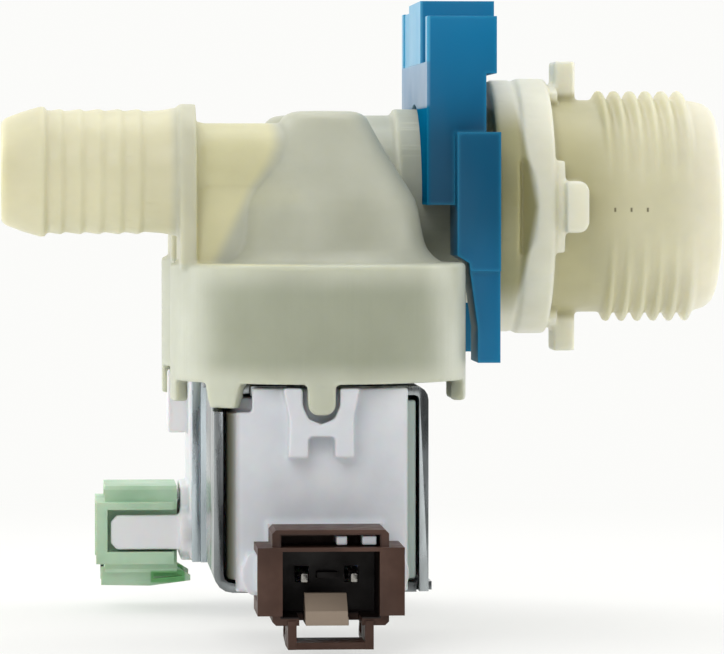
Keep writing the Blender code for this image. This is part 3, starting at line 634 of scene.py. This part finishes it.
def nylon_material():
    """Cream nylon. It lets light through, and its light and shade are painted: lighter where solid,
    greyer over the hollow pots.
    """
    material = finish_material(
        "cream_nylon",
        [(0.93, 0.93, 0.92), (1.0, 1.0, 1.0), (1.06, 1.06, 1.07)],
        (0.34, 0.48),
        size=7.0,
        grain=0.5,
        depth=0.012,
        subsurface_weight=0.6,
        subsurface_scale=0.7 * MM,
    )
    tree = material.node_tree
    shader = tree.nodes["Principled BSDF"]
    shader.inputs["Subsurface Radius"].default_value = (3.2, 2.9, 1.9)
    mottle = shader.inputs["Base Color"].links[0].from_socket
    place = add_node(tree, "ShaderNodeTexCoord").outputs["Object"]
    split = add_node(tree, "ShaderNodeSeparateXYZ", {"Vector": place})
    x, y, z = (split.outputs[axis] for axis in "XYZ")

    def both(first, second):
        return math_node(tree, "MULTIPLY", first, second)

    def distance(first, second):
        squares = [math_node(tree, "POWER", item, 2.0) for item in (first, second)]
        return math_node(tree, "SQRT", math_node(tree, "ADD", *squares), 0.0)

    # The nozzle: painted olive shade behind its plate, painted light at the nose and a painted glow in
    # the plate's thin rim
    tone = mix_colour(tree, ramp_along(tree, x, 2.0, 11.0), NYLON_OLIVE_SHADE, NYLON_SOLID)
    tone = mix_colour(tree, ramp_along(tree, x, 12.0, 19.0), tone, NYLON_NOSE_LIGHT)
    radius = distance(y, z)
    rim = both(ramp_along(tree, radius, 12.5, 13.4), ramp_along(tree, x, 4.2, 3.8))
    tone = mix_colour(tree, rim, tone, NYLON_RIM_GLOW)
    height = math_node(tree, "ABSOLUTE", z, 0.0)
    at_side = math_node(tree, "ABSOLUTE", y, 0.0)
    # Painted shade: a darker olive in the hollow behind the plate's back, at the sides
    plate_back = math_node(tree, "MULTIPLY_ADD", height, 0.173)
    tree.links.new(x, plate_back.node.inputs[2])
    recess_shade = both(ramp_along(tree, plate_back, -1.75, -2.5), ramp_along(tree, height, 13.5, 8.0))
    tone = mix_colour(tree, both(recess_shade, ramp_along(tree, at_side, 5.0, 9.0)), tone, NYLON_RECESS_SHADE)
    # Behind the neck, painted shade: greyer domes, olive tubes and collars; the barbs go back to the
    # plain tone; then the pots
    tone = mix_colour(tree, ramp_along(tree, x, -7.0, -9.0), tone, NYLON_DOME_SHADE)
    from_dome = distance(
        math_node(tree, "SUBTRACT", x, DOME_X * MM), math_node(tree, "SUBTRACT", at_side, POT_Y * MM)
    )
    cone = math_node(tree, "MULTIPLY_ADD", z, -0.54)
    cone.node.inputs[2].default_value = 10.3 * MM
    beside = ramp_along(tree, math_node(tree, "SUBTRACT", from_dome, cone), -0.3, 1.3)
    tone = mix_colour(tree, both(beside, ramp_along(tree, x, -28.0, -30.0)), tone, NYLON_TUBE_SHADE)
    tone = mix_colour(tree, ramp_along(tree, x, -40.2, -40.5), tone, NYLON_COLLAR_SHADE)
    tone = mix_colour(tree, ramp_along(tree, x, -42.2, -43.5), tone, NYLON_SOLID)
    # Painted shade in the middle of each pot's wall, painted light towards its edges
    middle = both(ramp_along(tree, z, -6.4, -9.5), ramp_along(tree, z, -18.6, -16.0))
    off_axis = math_node(tree, "ABSOLUTE", math_node(tree, "SUBTRACT", x, POT_X * MM), 0.0)
    middle = both(middle, ramp_along(tree, off_axis, 15.5, 10.0))
    pot = mix_colour(tree, middle, NYLON_POT_RIM_LIGHT, NYLON_POT_SHADE)
    on_pot = both(ramp_along(tree, x, -8.0, -10.0), ramp_along(tree, z, -5.8, -6.3))
    tone = mix_colour(tree, on_pot, tone, pot)
    blend = add_node(tree, "ShaderNodeMix", data_type="RGBA", blend_type="MULTIPLY")
    blend.inputs[0].default_value = 1.0
    tree.links.new(tone, blend.inputs[6])
    tree.links.new(mottle, blend.inputs[7])
    tree.links.new(blend.outputs[2], shader.inputs["Base Color"])
    # Three small dark ticks of painted shade at the notches where the mould parts, on the front of the
    # thread
    notch_shades = [
        inside_box(tree, (x - 0.03, -14.0, -0.5), (x + 0.03, -11.0, -0.2), 0.16) for x in PARTING_NOTCHES
    ]
    return tint(material, *((mark, NYLON_NOTCH_SHADE) for mark in notch_shades))


def blue_material():
    """Blue polypropylene, with painted light and shade: painted shade deep in the middle of its faces,
    painted light above and below, painted cyan highlights on its rounded edges and at the top of its
    back face, and a painted pale reflection on the back face.
    """
    material = finish_material(
        "blue_moulding",
        [(0.001, 0.105, 0.235), (0.001, 0.12, 0.26), (0.002, 0.135, 0.285)],
        (0.3, 0.38),
        size=16.0,
        grain=0.3,
        depth=0.004,
        subsurface_weight=0.15,
        subsurface_scale=1.0 * MM,
    )
    tree = material.node_tree
    place = add_node(tree, "ShaderNodeTexCoord").outputs["Object"]
    split = add_node(tree, "ShaderNodeSeparateXYZ", {"Vector": place})
    x, z = split.outputs["X"], split.outputs["Z"]
    # Painted light and shade: painted light towards the top and the bottom, painted shade in the middle
    high = ramp_along(tree, z, 8.0, 24.0)
    centre = math_node(tree, "MULTIPLY", ramp_along(tree, z, 14.0, 6.0), ramp_along(tree, z, -8.0, 0.0))
    low = ramp_along(tree, z, -4.0, -18.0)
    # The back face towards -X: above z 11.4 a painted pale reflection and more gloss, below it no gloss
    behind = ramp_along(tree, x, -14.3, -14.65)
    back = math_node(tree, "MULTIPLY", behind, ramp_along(tree, z, 10.9, 11.4))
    dull = math_node(tree, "MULTIPLY", behind, ramp_along(tree, z, 11.4, 10.9))
    gloss = map_range(tree, dull, 0.0, 1.0, 0.25, 0.0)
    gloss = math_node(tree, "ADD", gloss, math_node(tree, "MULTIPLY", back, 0.5))
    tree.links.new(gloss, tree.nodes["Principled BSDF"].inputs["Specular IOR Level"])
    # Painted cyan highlights: a band at the top of the back face, and the rounded edges, painted paler
    # where the bevelled normal turns away
    thin = math_node(tree, "MULTIPLY", back, ramp_along(tree, z, 15.8, 16.2))
    flat = add_node(tree, "ShaderNodeTexCoord").outputs["Normal"]
    bent = add_node(tree, "ShaderNodeBevel", {"Radius": 0.8 * MM}, samples=6).outputs["Normal"]
    turn = add_node(tree, "ShaderNodeVectorMath", {0: flat, 1: bent}, operation="DOT_PRODUCT")
    edge = map_range(tree, turn.outputs["Value"], 1.0, 0.8, 0.0, 0.55)
    # The tints: painted shade, painted light above and below, painted edge highlights, a painted pale
    # reflection and a painted glow
    return tint(
        material,
        (math_node(tree, "MULTIPLY", centre, 0.5), (0.001, 0.05, 0.10)),
        (math_node(tree, "MULTIPLY", high, 0.6), (0.004, 0.24, 0.50)),
        (math_node(tree, "MULTIPLY", low, 0.5), (0.003, 0.20, 0.42)),
        (edge, (0.02, 0.30, 0.52)),
        (math_node(tree, "MULTIPLY", back, 0.15), (0.42, 0.58, 0.80)),
        (math_node(tree, "MULTIPLY", thin, 0.9), (0.02, 0.36, 0.62)),
    )


def white_material():
    """The coils' white moulding, with painted shade in the corners that stand close to the front yoke
    and painted light towards -X on the rear coil.
    """
    material = finish_material(
        "white_moulding",
        [(0.64, 0.66, 0.70), (0.69, 0.71, 0.75), (0.74, 0.76, 0.79)],
        (0.42, 0.6),
        size=6.0,
        grain=0.5,
        depth=0.015,
        subsurface_weight=0.3,
        subsurface_scale=1.0 * MM,
    )
    tree = material.node_tree
    place = add_node(tree, "ShaderNodeTexCoord").outputs["Object"]
    x = add_node(tree, "ShaderNodeSeparateXYZ", {"Vector": place}).outputs["X"]
    near = inside_box(tree, (POT_X - 10.6, -35.0, -40.5), (POT_X + 10.0, -25.0, -20.6), 0.4)
    # Painted shade in the corners beside the yoke's limbs, greenish grey on the right
    left = math_node(tree, "MULTIPLY", near, ramp_along(tree, x, POT_X - 8.9, POT_X - 10.1))
    right = math_node(tree, "MULTIPLY", near, ramp_along(tree, x, POT_X + 8.6, POT_X + 9.0))
    # Painted light: the moulding painted paler towards -X, on the rear coil's front
    thin = ramp_along(tree, x, POT_X - 12.8, POT_X - 14.0)
    return tint(
        material,
        (left, (0.11, 0.11, 0.075)),
        (math_node(tree, "MULTIPLY", right, 0.9), (0.36, 0.44, 0.40)),
        (math_node(tree, "MULTIPLY", thin, 0.8), (0.86, 0.85, 0.87)),
    )


def brown_material():
    """Brown polyamide, with painted shade near black in the mouth and darker in its upper slot, and a
    painted highlight on the latch nose under it.
    """
    material = finish_material(
        "brown_moulding",
        [(0.048, 0.021, 0.013), (0.062, 0.029, 0.019), (0.082, 0.041, 0.029)],
        (0.4, 0.55),
        size=4.0,
        grain=0.25,
        depth=0.02,
        specular_ior_level=0.3,
    )
    tree = material.node_tree
    # Painted shade in the mouth and in the upper slot
    mouth = inside_box(tree, (POT_X - 5.2, -42.3, -42.9), (POT_X + 5.2, -34.4, -35.8))
    slot = inside_box(tree, (POT_X - 5.3, -42.3, -35.5), (POT_X + 5.3, -36.8, -34.1))
    # Painted highlight on the latch nose
    nose = inside_box(tree, (POT_X - 2.7, -42.2, -43.7), (POT_X + 1.85, -38.3, -40.4), 0.05)
    return tint(
        material,
        (mouth, (0.008, 0.004, 0.003)),
        (math_node(tree, "MULTIPLY", slot, 0.5), (0.02, 0.009, 0.006)),
        (nose, (0.30, 0.235, 0.18)),
    )


def green_material():
    """Pale green polyamide, painted a deeper green where light shines through the connector's lower
    window.
    """
    material = finish_material(
        "green_moulding",
        [(0.40, 0.60, 0.42), (0.47, 0.66, 0.48), (0.53, 0.71, 0.54)],
        (0.4, 0.55),
        size=5.0,
        grain=0.3,
        depth=0.015,
        subsurface_weight=0.3,
        subsurface_scale=1.0 * MM,
    )
    # Painted light shining through the lower window
    window = inside_box(material.node_tree, (-44.3, 8.0, -43.9), (-40.6, 30.0, -42.7), 0.3)
    return tint(material, (window, (0.16, 0.46, 0.17)))


def zinc_material():
    """Zinc plate in streaks, with painted light that makes it paler on the rear coil than on the front
    one.
    """
    material = finish_material(
        "zinc_plated_steel",
        [(0.17, 0.185, 0.19), (0.30, 0.32, 0.33), (0.50, 0.54, 0.56)],
        (0.16, 0.36),
        size=2.5,
        grain=0.25,
        depth=0.015,
        stretch=(1, 1, 6),
        metallic=1.0,
    )
    tree = material.node_tree
    place = add_node(tree, "ShaderNodeTexCoord").outputs["Object"]
    y = add_node(tree, "ShaderNodeSeparateXYZ", {"Vector": place}).outputs["Y"]
    # Painted light: the rear coil's zinc painted paler
    rear = math_node(tree, "MULTIPLY", ramp_along(tree, y, -4.0, 4.0), 0.7)
    return tint(material, (rear, (0.60, 0.68, 0.73)))


def make_materials():
    """One material for each slot of the record."""
    made = {"cream_nylon": nylon_material()}
    made["blue_moulding"] = blue_material()
    made["white_moulding"] = white_material()
    made["brown_moulding"] = brown_material()
    made["green_moulding"] = green_material()
    made["black_moulding"] = finish_material(
        "black_moulding", [(0.018, 0.018, 0.02), (0.035, 0.035, 0.04)], (0.35, 0.5), size=4.0
    )
    made["rubber"] = finish_material(
        "rubber", [(0.012, 0.012, 0.012), (0.03, 0.03, 0.03)], (0.65, 0.8), size=3.0, depth=0.03
    )
    made["zinc_plated_steel"] = zinc_material()
    made["stainless_steel"] = finish_material(
        "stainless_steel",
        [(0.40, 0.40, 0.42), (0.56, 0.56, 0.58)],
        (0.18, 0.32),
        size=2.0,
        grain=0.2,
        depth=0.01,
        stretch=(4, 4, 0.5),
        metallic=1.0,
    )
    made["copper_wire"] = finish_material(
        "copper_wire", [(0.55, 0.17, 0.07), (0.75, 0.30, 0.13)], (0.2, 0.35), size=1.5, metallic=1.0
    )
    made["tinned_brass"] = finish_material(
        "tinned_brass", [(0.26, 0.25, 0.23), (0.38, 0.37, 0.35)], (0.18, 0.34), size=1.2, metallic=1.0
    )
    return made


MATERIALS = make_materials()


def paint(obj, slot):
    """Gives a piece the finish of one of the record's slots."""
    obj.data.materials.clear()
    obj.data.materials.append(MATERIALS[slot])


def piece(obj, slot, body, *nodes):
    """Gives a new piece its finish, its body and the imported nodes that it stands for."""
    paint(obj, slot)
    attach(obj, body)
    if nodes:
        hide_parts(*nodes)


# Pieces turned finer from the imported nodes


def seam_profile(node, centre, direction):
    """The (radius, height) profile of a turned node in millimetres, read along its seam."""
    bm = bmesh.new()
    bm.from_mesh(node.data)
    bmesh.ops.remove_doubles(bm, verts=bm.verts, dist=2e-6)
    seam = {}
    for vert in bm.verts:
        offset = vert.co.xy - centre
        if abs(offset.length - offset.dot(direction)) < 3e-6:
            seam[vert] = (offset.length / MM, vert.co.z / MM)
    links = {}
    for vert in seam:
        others = [edge.other_vert(vert) for edge in vert.link_edges]
        links[vert] = [other for other in others if other in seam]
    ends = [vert for vert in seam if len(links[vert]) == 1]
    path = [ends[0] if ends else next(iter(seam))]
    following = path
    while following:
        following = [vert for vert in links[path[-1]] if vert not in path]
        path += following[:1]
    profile = [seam[vert] for vert in path]
    bm.free()
    return profile, not ends


def round_corners(profile, ring, radius):
    """The same profile with its corners cut round."""
    count = len(profile)
    made = []
    for index, point in enumerate(profile):
        here = Vector(point)
        if (not ring and index in (0, count - 1)) or here.x < 1e-6:
            made.append(point)
            continue
        before = Vector(profile[index - 1]) - here
        after = Vector(profile[(index + 1) % count]) - here
        reach = min(radius, 0.45 * before.length, 0.45 * after.length)
        start, end = here + before.normalized() * reach, here + after.normalized() * reach
        for step in range(4):
            t = step / 3
            made.append(tuple((1 - t) ** 2 * start + 2 * t * (1 - t) * here + t * t * end))
    return made


TURNED_NODES = {
    "diaphragm_insert": ("white_moulding", "insert"),
    "guide_tube": ("black_moulding", "valve"),
    "plunger_seal": ("rubber", "core"),
    "coil_bobbin": ("black_moulding", "valve"),
    "flux_sleeve_upper": ("zinc_plated_steel", "valve"),
    "flux_sleeve_lower": ("zinc_plated_steel", "valve"),
}


def turned_pieces():
    """Finer and softer copies of the round pieces, made from their own profiles."""
    seams = {"front": Vector((1.0, 0.0)), "rear": Vector((0.0, 1.0))}
    for side, place in coil_frames().items():
        centre = place.translation.xy
        diaphragm(side, centre, seams[side])
        for part, (slot, body) in TURNED_NODES.items():
            name = f"{side}_{part}"
            profile, ring = seam_profile(NODES[name], centre, seams[side])
            profile = round_corners(profile, ring, TURNED_ROUNDING)
            fine = turned(name + "_fine", profile, SMALL_STEPS, ring)
            move(fine, Matrix.Translation((*centre, 0)))
            shade_smooth(fine, 40)
            piece(fine, slot, body if body == "valve" else f"{side}_{body}", name)


def wedge(name, profile, start, end, steps):
    """A closed wedge of a turned ring, between two angles in degrees."""
    sections = []
    for index in range(steps + 1):
        a = math.radians(start + (end - start) * index / steps)
        sections.append([(r * math.cos(a), r * math.sin(a), z) for r, z in profile])
    return lofted(name, sections)


def diaphragm(side, centre, seam):
    """The diaphragm in wedges, between the moving insert and the clamped rim."""
    name = f"{side}_diaphragm"
    profile, ring = seam_profile(NODES[name], centre, seam)
    profile = round_corners(profile, ring, TURNED_ROUNDING)
    span = 360 / DIAPHRAGM_WEDGES
    for index in range(DIAPHRAGM_WEDGES):
        start, end = span * index, span * (index + 1)
        part = wedge(f"{name}_{index}", profile, start, end, SMALL_STEPS // DIAPHRAGM_WEDGES)
        move(part, Matrix.Translation((*centre, 0)))
        shade_smooth(part, 40)
        paint(part, "rubber")
        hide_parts(name)
        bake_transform(part)


def winding(side, centre):
    """The copper winding: layers of wire, whose outer layer shows as rounded turns."""
    turns = int((WINDING_TOP_Z - WINDING_LOW_Z) / (2 * COPPER_WIRE_R))
    axis_r = WINDING_OUTER_R - COPPER_WIRE_R
    profile = [(WINDING_INNER_R, WINDING_LOW_Z)]
    for index in range(turns):
        z = WINDING_LOW_Z + COPPER_WIRE_R * (2 * index + 1)
        for out, up in ((0, -1), (0.87, -0.5), (0.87, 0.5)):
            profile.append((axis_r + COPPER_WIRE_R * out, z + COPPER_WIRE_R * up))
    profile += [(axis_r, WINDING_TOP_Z), (WINDING_INNER_R, WINDING_TOP_Z)]
    obj = turned(f"{side}_winding_turns", profile, SMALL_STEPS, True)
    move(obj, Matrix.Translation((*centre, 0)))
    shade_smooth(obj, 50)
    piece(obj, "copper_wire", "valve", f"{side}_coil_winding")


def spring(side, centre):
    """A round-wire compression spring with closed, flattened ends."""
    per_turn = 24
    around_wire = 8
    count = per_turn * SPRING_TURNS
    travel = SPRING_TOP_Z - SPRING_LOW_Z - 2 * SPRING_WIRE_R
    sections = []
    for index in range(count + 1):
        turn = index / per_turn
        # The first and last turns climb by their wire only, so they lie against their seats
        eased = min(max((turn - 1) / (SPRING_TURNS - 2), 0.0), 1.0)
        ends = min(turn, 1) + max(0, turn - SPRING_TURNS + 1)
        climb = eased * (1 - 2 * SPRING_END_SHARE) + SPRING_END_SHARE * ends
        z = SPRING_LOW_Z + SPRING_WIRE_R + travel * climb
        a = math.tau * turn
        section = []
        for step in range(around_wire):
            b = math.tau * step / around_wire
            r = SPRING_R + SPRING_WIRE_R * math.cos(b)
            section.append((r * math.cos(a), r * math.sin(a), z + SPRING_WIRE_R * math.sin(b)))
        sections.append(section)
    obj = lofted(f"{side}_spring_wire", sections)
    move(obj, Matrix.Translation((*centre, 0)))
    shade_smooth(obj, 50)
    piece(obj, "stainless_steel", "valve", f"{side}_plunger_spring")
    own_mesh(obj)


# The coils' white mouldings with their hooks, and the lip of the rear yoke


HOOKS = {"a": (0.65, 1.75), "b": (3.35, 4.85)}
HOOK_ROUNDING = 0.14
LIP_ROUNDING = 0.08


def coil_moulding(side, place):
    """A coil's moulding, with the corners beside its pad filled round."""
    name = f"{side}_coil_overmould"
    coil = new_mesh_object(f"{side}_coil_moulding", mesh_of(NODES[name]))
    left = [(-8.0, -9.0), (-10.45, -9.0), (-10.45, -10.6)] + arc(-8.75, -10.95, 1.7, 180, 270, 8)
    left += [(-8.0, -12.65)]
    right = [(8.0, -12.65)] + arc(8.4, -12.2, 0.45, -90, 0, 6)
    right += [(8.85, -11.9), (9.85, -11.9), (9.85, -9.0), (8.0, -9.0)]
    pieces = [plate("left", left, "Z", -39.8, -21.9), plate("right", right, "Z", -39.8, -20.6)]
    for item in pieces:
        move(item, place)
    combine(coil, pieces, "UNION")
    mould(coil, COIL_VOXEL, COIL_TRIANGLES)
    piece(coil, "white_moulding", "valve", name)


def small_block(name, slot, low, high, place, rounding):
    """A small block with rounded edges, in a coil's frame."""
    block = move(box(name, low, high), place)
    bevel = block.modifiers.new("round", "BEVEL")
    bevel.width = rounding * MM
    bevel.segments = 3
    apply_modifiers(block)
    shade_smooth(block, 40)
    piece(block, slot, "valve")


def connector_hooks(side, place):
    """The two hooks of the coil's moulding that hold the connector through its upper slot."""
    lift = CONNECTOR_LIFT[side]
    for letter, (start, end) in HOOKS.items():
        low, high = (start, -22.6, -35.28 + lift), (end, -14.25, -34.33 + lift)
        small_block(f"{side}_hook_{letter}", "white_moulding", low, high, place, HOOK_ROUNDING)


def limb_lip(side, place):
    """The rolled front edge of the coil's right yoke limb."""
    low, high = (10.22, -13.0, -41.1), (11.18, -12.02, -19.4)
    small_block(f"{side}_limb_lip", "zinc_plated_steel", low, high, place, LIP_ROUNDING)


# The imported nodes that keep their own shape, with softened edges


SOFT_EDGE_ANGLE = math.radians(30)
FLAT_ANGLE = math.radians(0.6)


def soften(name, slot, width, segments):
    """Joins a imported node's flat faces and rounds its edges, in the way its finish needs."""
    obj = NODES[name]
    paint(obj, slot)
    weld = obj.modifiers.new("weld", "WELD")
    weld.merge_threshold = 2e-6
    flat = obj.modifiers.new("flat", "DECIMATE")
    flat.decimate_type = "DISSOLVE"
    flat.angle_limit = FLAT_ANGLE
    bevel = obj.modifiers.new("soft_edges", "BEVEL")
    bevel.width = width * MM
    bevel.segments = segments
    bevel.limit_method = "ANGLE"
    bevel.angle_limit = SOFT_EDGE_ANGLE
    bevel.harden_normals = True
    obj.data.shade_smooth()


# Slot, width of the rounding in millimetres and its steps
SOFTENED = {
    "mounting_clip": ("blue_moulding", 0.28, 3),
    "inlet_strainer": ("white_moulding", 0.12, 2),
    "flow_regulator_cage": ("black_moulding", 0.12, 2),
    "flow_regulator_washer": ("rubber", 0.15, 2),
    "plunger": ("stainless_steel", 0.1, 2),
    "terminal_a": ("tinned_brass", 0.12, 2),
    "terminal_b": ("tinned_brass", 0.12, 2),
    "yoke_upper": ("zinc_plated_steel", 0.1, 2),
    "yoke_lower": ("zinc_plated_steel", 0.1, 2),
    "connector_shroud": (None, 0.14, 2),
}


def soften_all():
    """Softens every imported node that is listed, on whichever side it is."""
    for name in NODES:
        side, _, rest = name.partition("_")
        key = name if name in SOFTENED else rest
        if key not in SOFTENED:
            continue
        slot, width, segments = SOFTENED[key]
        if slot is None:
            slot = "brown_moulding" if side == "front" else "green_moulding"
        soften(name, slot, width, segments)


# Floor, light and camera


def seen_directly(tree):
    """1 for the rays from the camera and for those that pass through glass, else 0."""
    path = add_node(tree, "ShaderNodeLightPath")
    return math_node(tree, "MAXIMUM", path.outputs["Is Camera Ray"], path.outputs["Is Transmission Ray"])


BACKGROUND = (0.969, 0.969, 0.951)
WORLD_COLOUR = (1.0, 1.0, 0.985)
FLOOR_COLOUR = (0.90, 0.90, 0.885)
FLOOR_TOP = -47.4
FLOOR_HALF = 1500
SHADOW_CENTRE = (-0.021, -0.004, -0.0474)
SHADOW_NEAR = 0.06
SHADOW_FAR = 0.2
SHADOW_SHARE = 0.4
LIGHT_TARGET = Vector((-22.0, 0.0, -12.0))


def make_world():
    """White round the sides and behind; the light itself is dimmer from the front."""
    world = bpy.data.worlds.new("studio")
    bpy.context.scene.world = world
    world.use_nodes = True
    tree = world.node_tree
    tree.nodes.clear()
    direction = add_node(tree, "ShaderNodeTexCoord").outputs["Generated"]
    split = add_node(tree, "ShaderNodeSeparateXYZ", {"Vector": direction})
    level = map_range(tree, split.outputs["Y"], -0.95, 0.3, 0.3, 0.95)
    gloss = map_range(tree, split.outputs["Y"], -0.9, 0.0, 0.06, 1.0)
    is_gloss = add_node(tree, "ShaderNodeLightPath").outputs["Is Glossy Ray"]
    strength = add_node(tree, "ShaderNodeMix", {0: is_gloss, 2: level, 3: gloss}).outputs[0]
    colour = (*WORLD_COLOUR, 1.0)
    light = add_node(tree, "ShaderNodeBackground", {"Color": colour, "Strength": strength})
    seen = add_node(tree, "ShaderNodeBackground", {"Color": (*BACKGROUND, 1.0), "Strength": 1.0})
    mixed = add_node(
        tree,
        "ShaderNodeMixShader",
        {"Fac": seen_directly(tree), 1: light.outputs[0], 2: seen.outputs[0]},
    )
    add_node(tree, "ShaderNodeOutputWorld", {"Surface": mixed.outputs[0]})


def make_floor():
    """A plain pale floor that takes the object's shadow near it and turns into the backdrop."""
    low = (-FLOOR_HALF, -FLOOR_HALF, FLOOR_TOP - 1)
    floor = box("floor", low, (FLOOR_HALF, FLOOR_HALF, FLOOR_TOP))
    material = bpy.data.materials.new("floor")
    material.use_nodes = True
    tree = material.node_tree
    tree.nodes.clear()
    place = add_node(tree, "ShaderNodeTexCoord").outputs["Object"]
    reach = add_node(tree, "ShaderNodeVectorMath", {0: place, 1: SHADOW_CENTRE}, operation="DISTANCE")
    reach = reach.outputs["Value"]
    near = map_range(tree, reach, SHADOW_NEAR, SHADOW_FAR, SHADOW_SHARE, 0.0, "SMOOTHSTEP")
    white = add_node(tree, "ShaderNodeEmission", {"Color": (*BACKGROUND, 1.0), "Strength": 1.0})
    matt = add_node(tree, "ShaderNodeBsdfDiffuse", {"Color": (*FLOOR_COLOUR, 1.0)})
    blend = add_node(
        tree,
        "ShaderNodeMixShader",
        {"Fac": near, 1: white.outputs[0], 2: matt.outputs[0]},
    )
    out = add_node(
        tree,
        "ShaderNodeMixShader",
        {"Fac": seen_directly(tree), 1: matt.outputs[0], 2: blend.outputs[0]},
    )
    add_node(tree, "ShaderNodeOutputMaterial", {"Surface": out.outputs[0]})
    floor.data.materials.append(material)


def area_light(name, place, size, power):
    """A large soft lamp that faces the object."""
    data = bpy.data.lights.new(name, "AREA")
    data.shape = "RECTANGLE"
    data.size = size[0] * MM
    data.size_y = size[1] * MM
    data.energy = power
    obj = bpy.data.objects.new(name, data)
    bpy.context.scene.collection.objects.link(obj)
    obj.location = Vector(place) * MM
    obj.rotation_mode = "QUATERNION"
    obj.rotation_quaternion = (LIGHT_TARGET - Vector(place)).to_track_quat("-Z", "Y")


# Name, place and size in millimetres, and power in watts
LAMPS = (
    ("key", (-180, -420, 260), (300, 300), 0.75),
    ("left_edge", (-420, 160, 60), (260, 420), 0.9),
    ("right_edge", (380, 200, 60), (260, 420), 0.9),
    ("top", (0, 60, 420), (360, 300), 0.6),
)


def make_camera():
    """A long lens that looks as the photograph does."""
    data = bpy.data.cameras.new("camera")
    data.sensor_width = SENSOR_MM
    data.lens = SENSOR_MM * FOCAL_PIXELS / IMAGE_WIDTH
    data.clip_start = 0.01
    data.clip_end = 10.0
    camera = bpy.data.objects.new("camera", data)
    bpy.context.scene.collection.objects.link(camera)
    a, e = CAMERA_AZIMUTH, CAMERA_ELEVATION
    forward = Vector((math.sin(a) * math.cos(e), math.cos(a) * math.cos(e), -math.sin(e)))
    right = Vector((math.cos(a), -math.sin(a), 0.0))
    up = right.cross(forward)
    across = (ORIGIN_PIXEL[0] - IMAGE_WIDTH / 2) / PIXELS_PER_MM
    above = (IMAGE_HEIGHT / 2 - ORIGIN_PIXEL[1]) / PIXELS_PER_MM
    eye = -(right * across + up * above) - forward * FOCAL_PIXELS / PIXELS_PER_MM
    camera.location = eye * MM
    camera.rotation_mode = "QUATERNION"
    camera.rotation_quaternion = forward.to_track_quat("-Z", "Y")
    bpy.context.scene.camera = camera


def build():
    """Makes all pieces, then the stage."""
    piece(valve_body(), "cream_nylon", "valve", "valve_body")
    turned_pieces()
    for side, place in coil_frames().items():
        centre = place.translation.xy
        winding(side, centre)
        spring(side, centre)
        coil_moulding(side, place)
        connector_hooks(side, place)
    limb_lip("rear", coil_frames()["rear"])
    soften_all()
    make_world()
    make_floor()
    for lamp in LAMPS:
        area_light(*lamp)
    make_camera()
    bpy.context.scene.view_settings.view_transform = "Standard"


build()
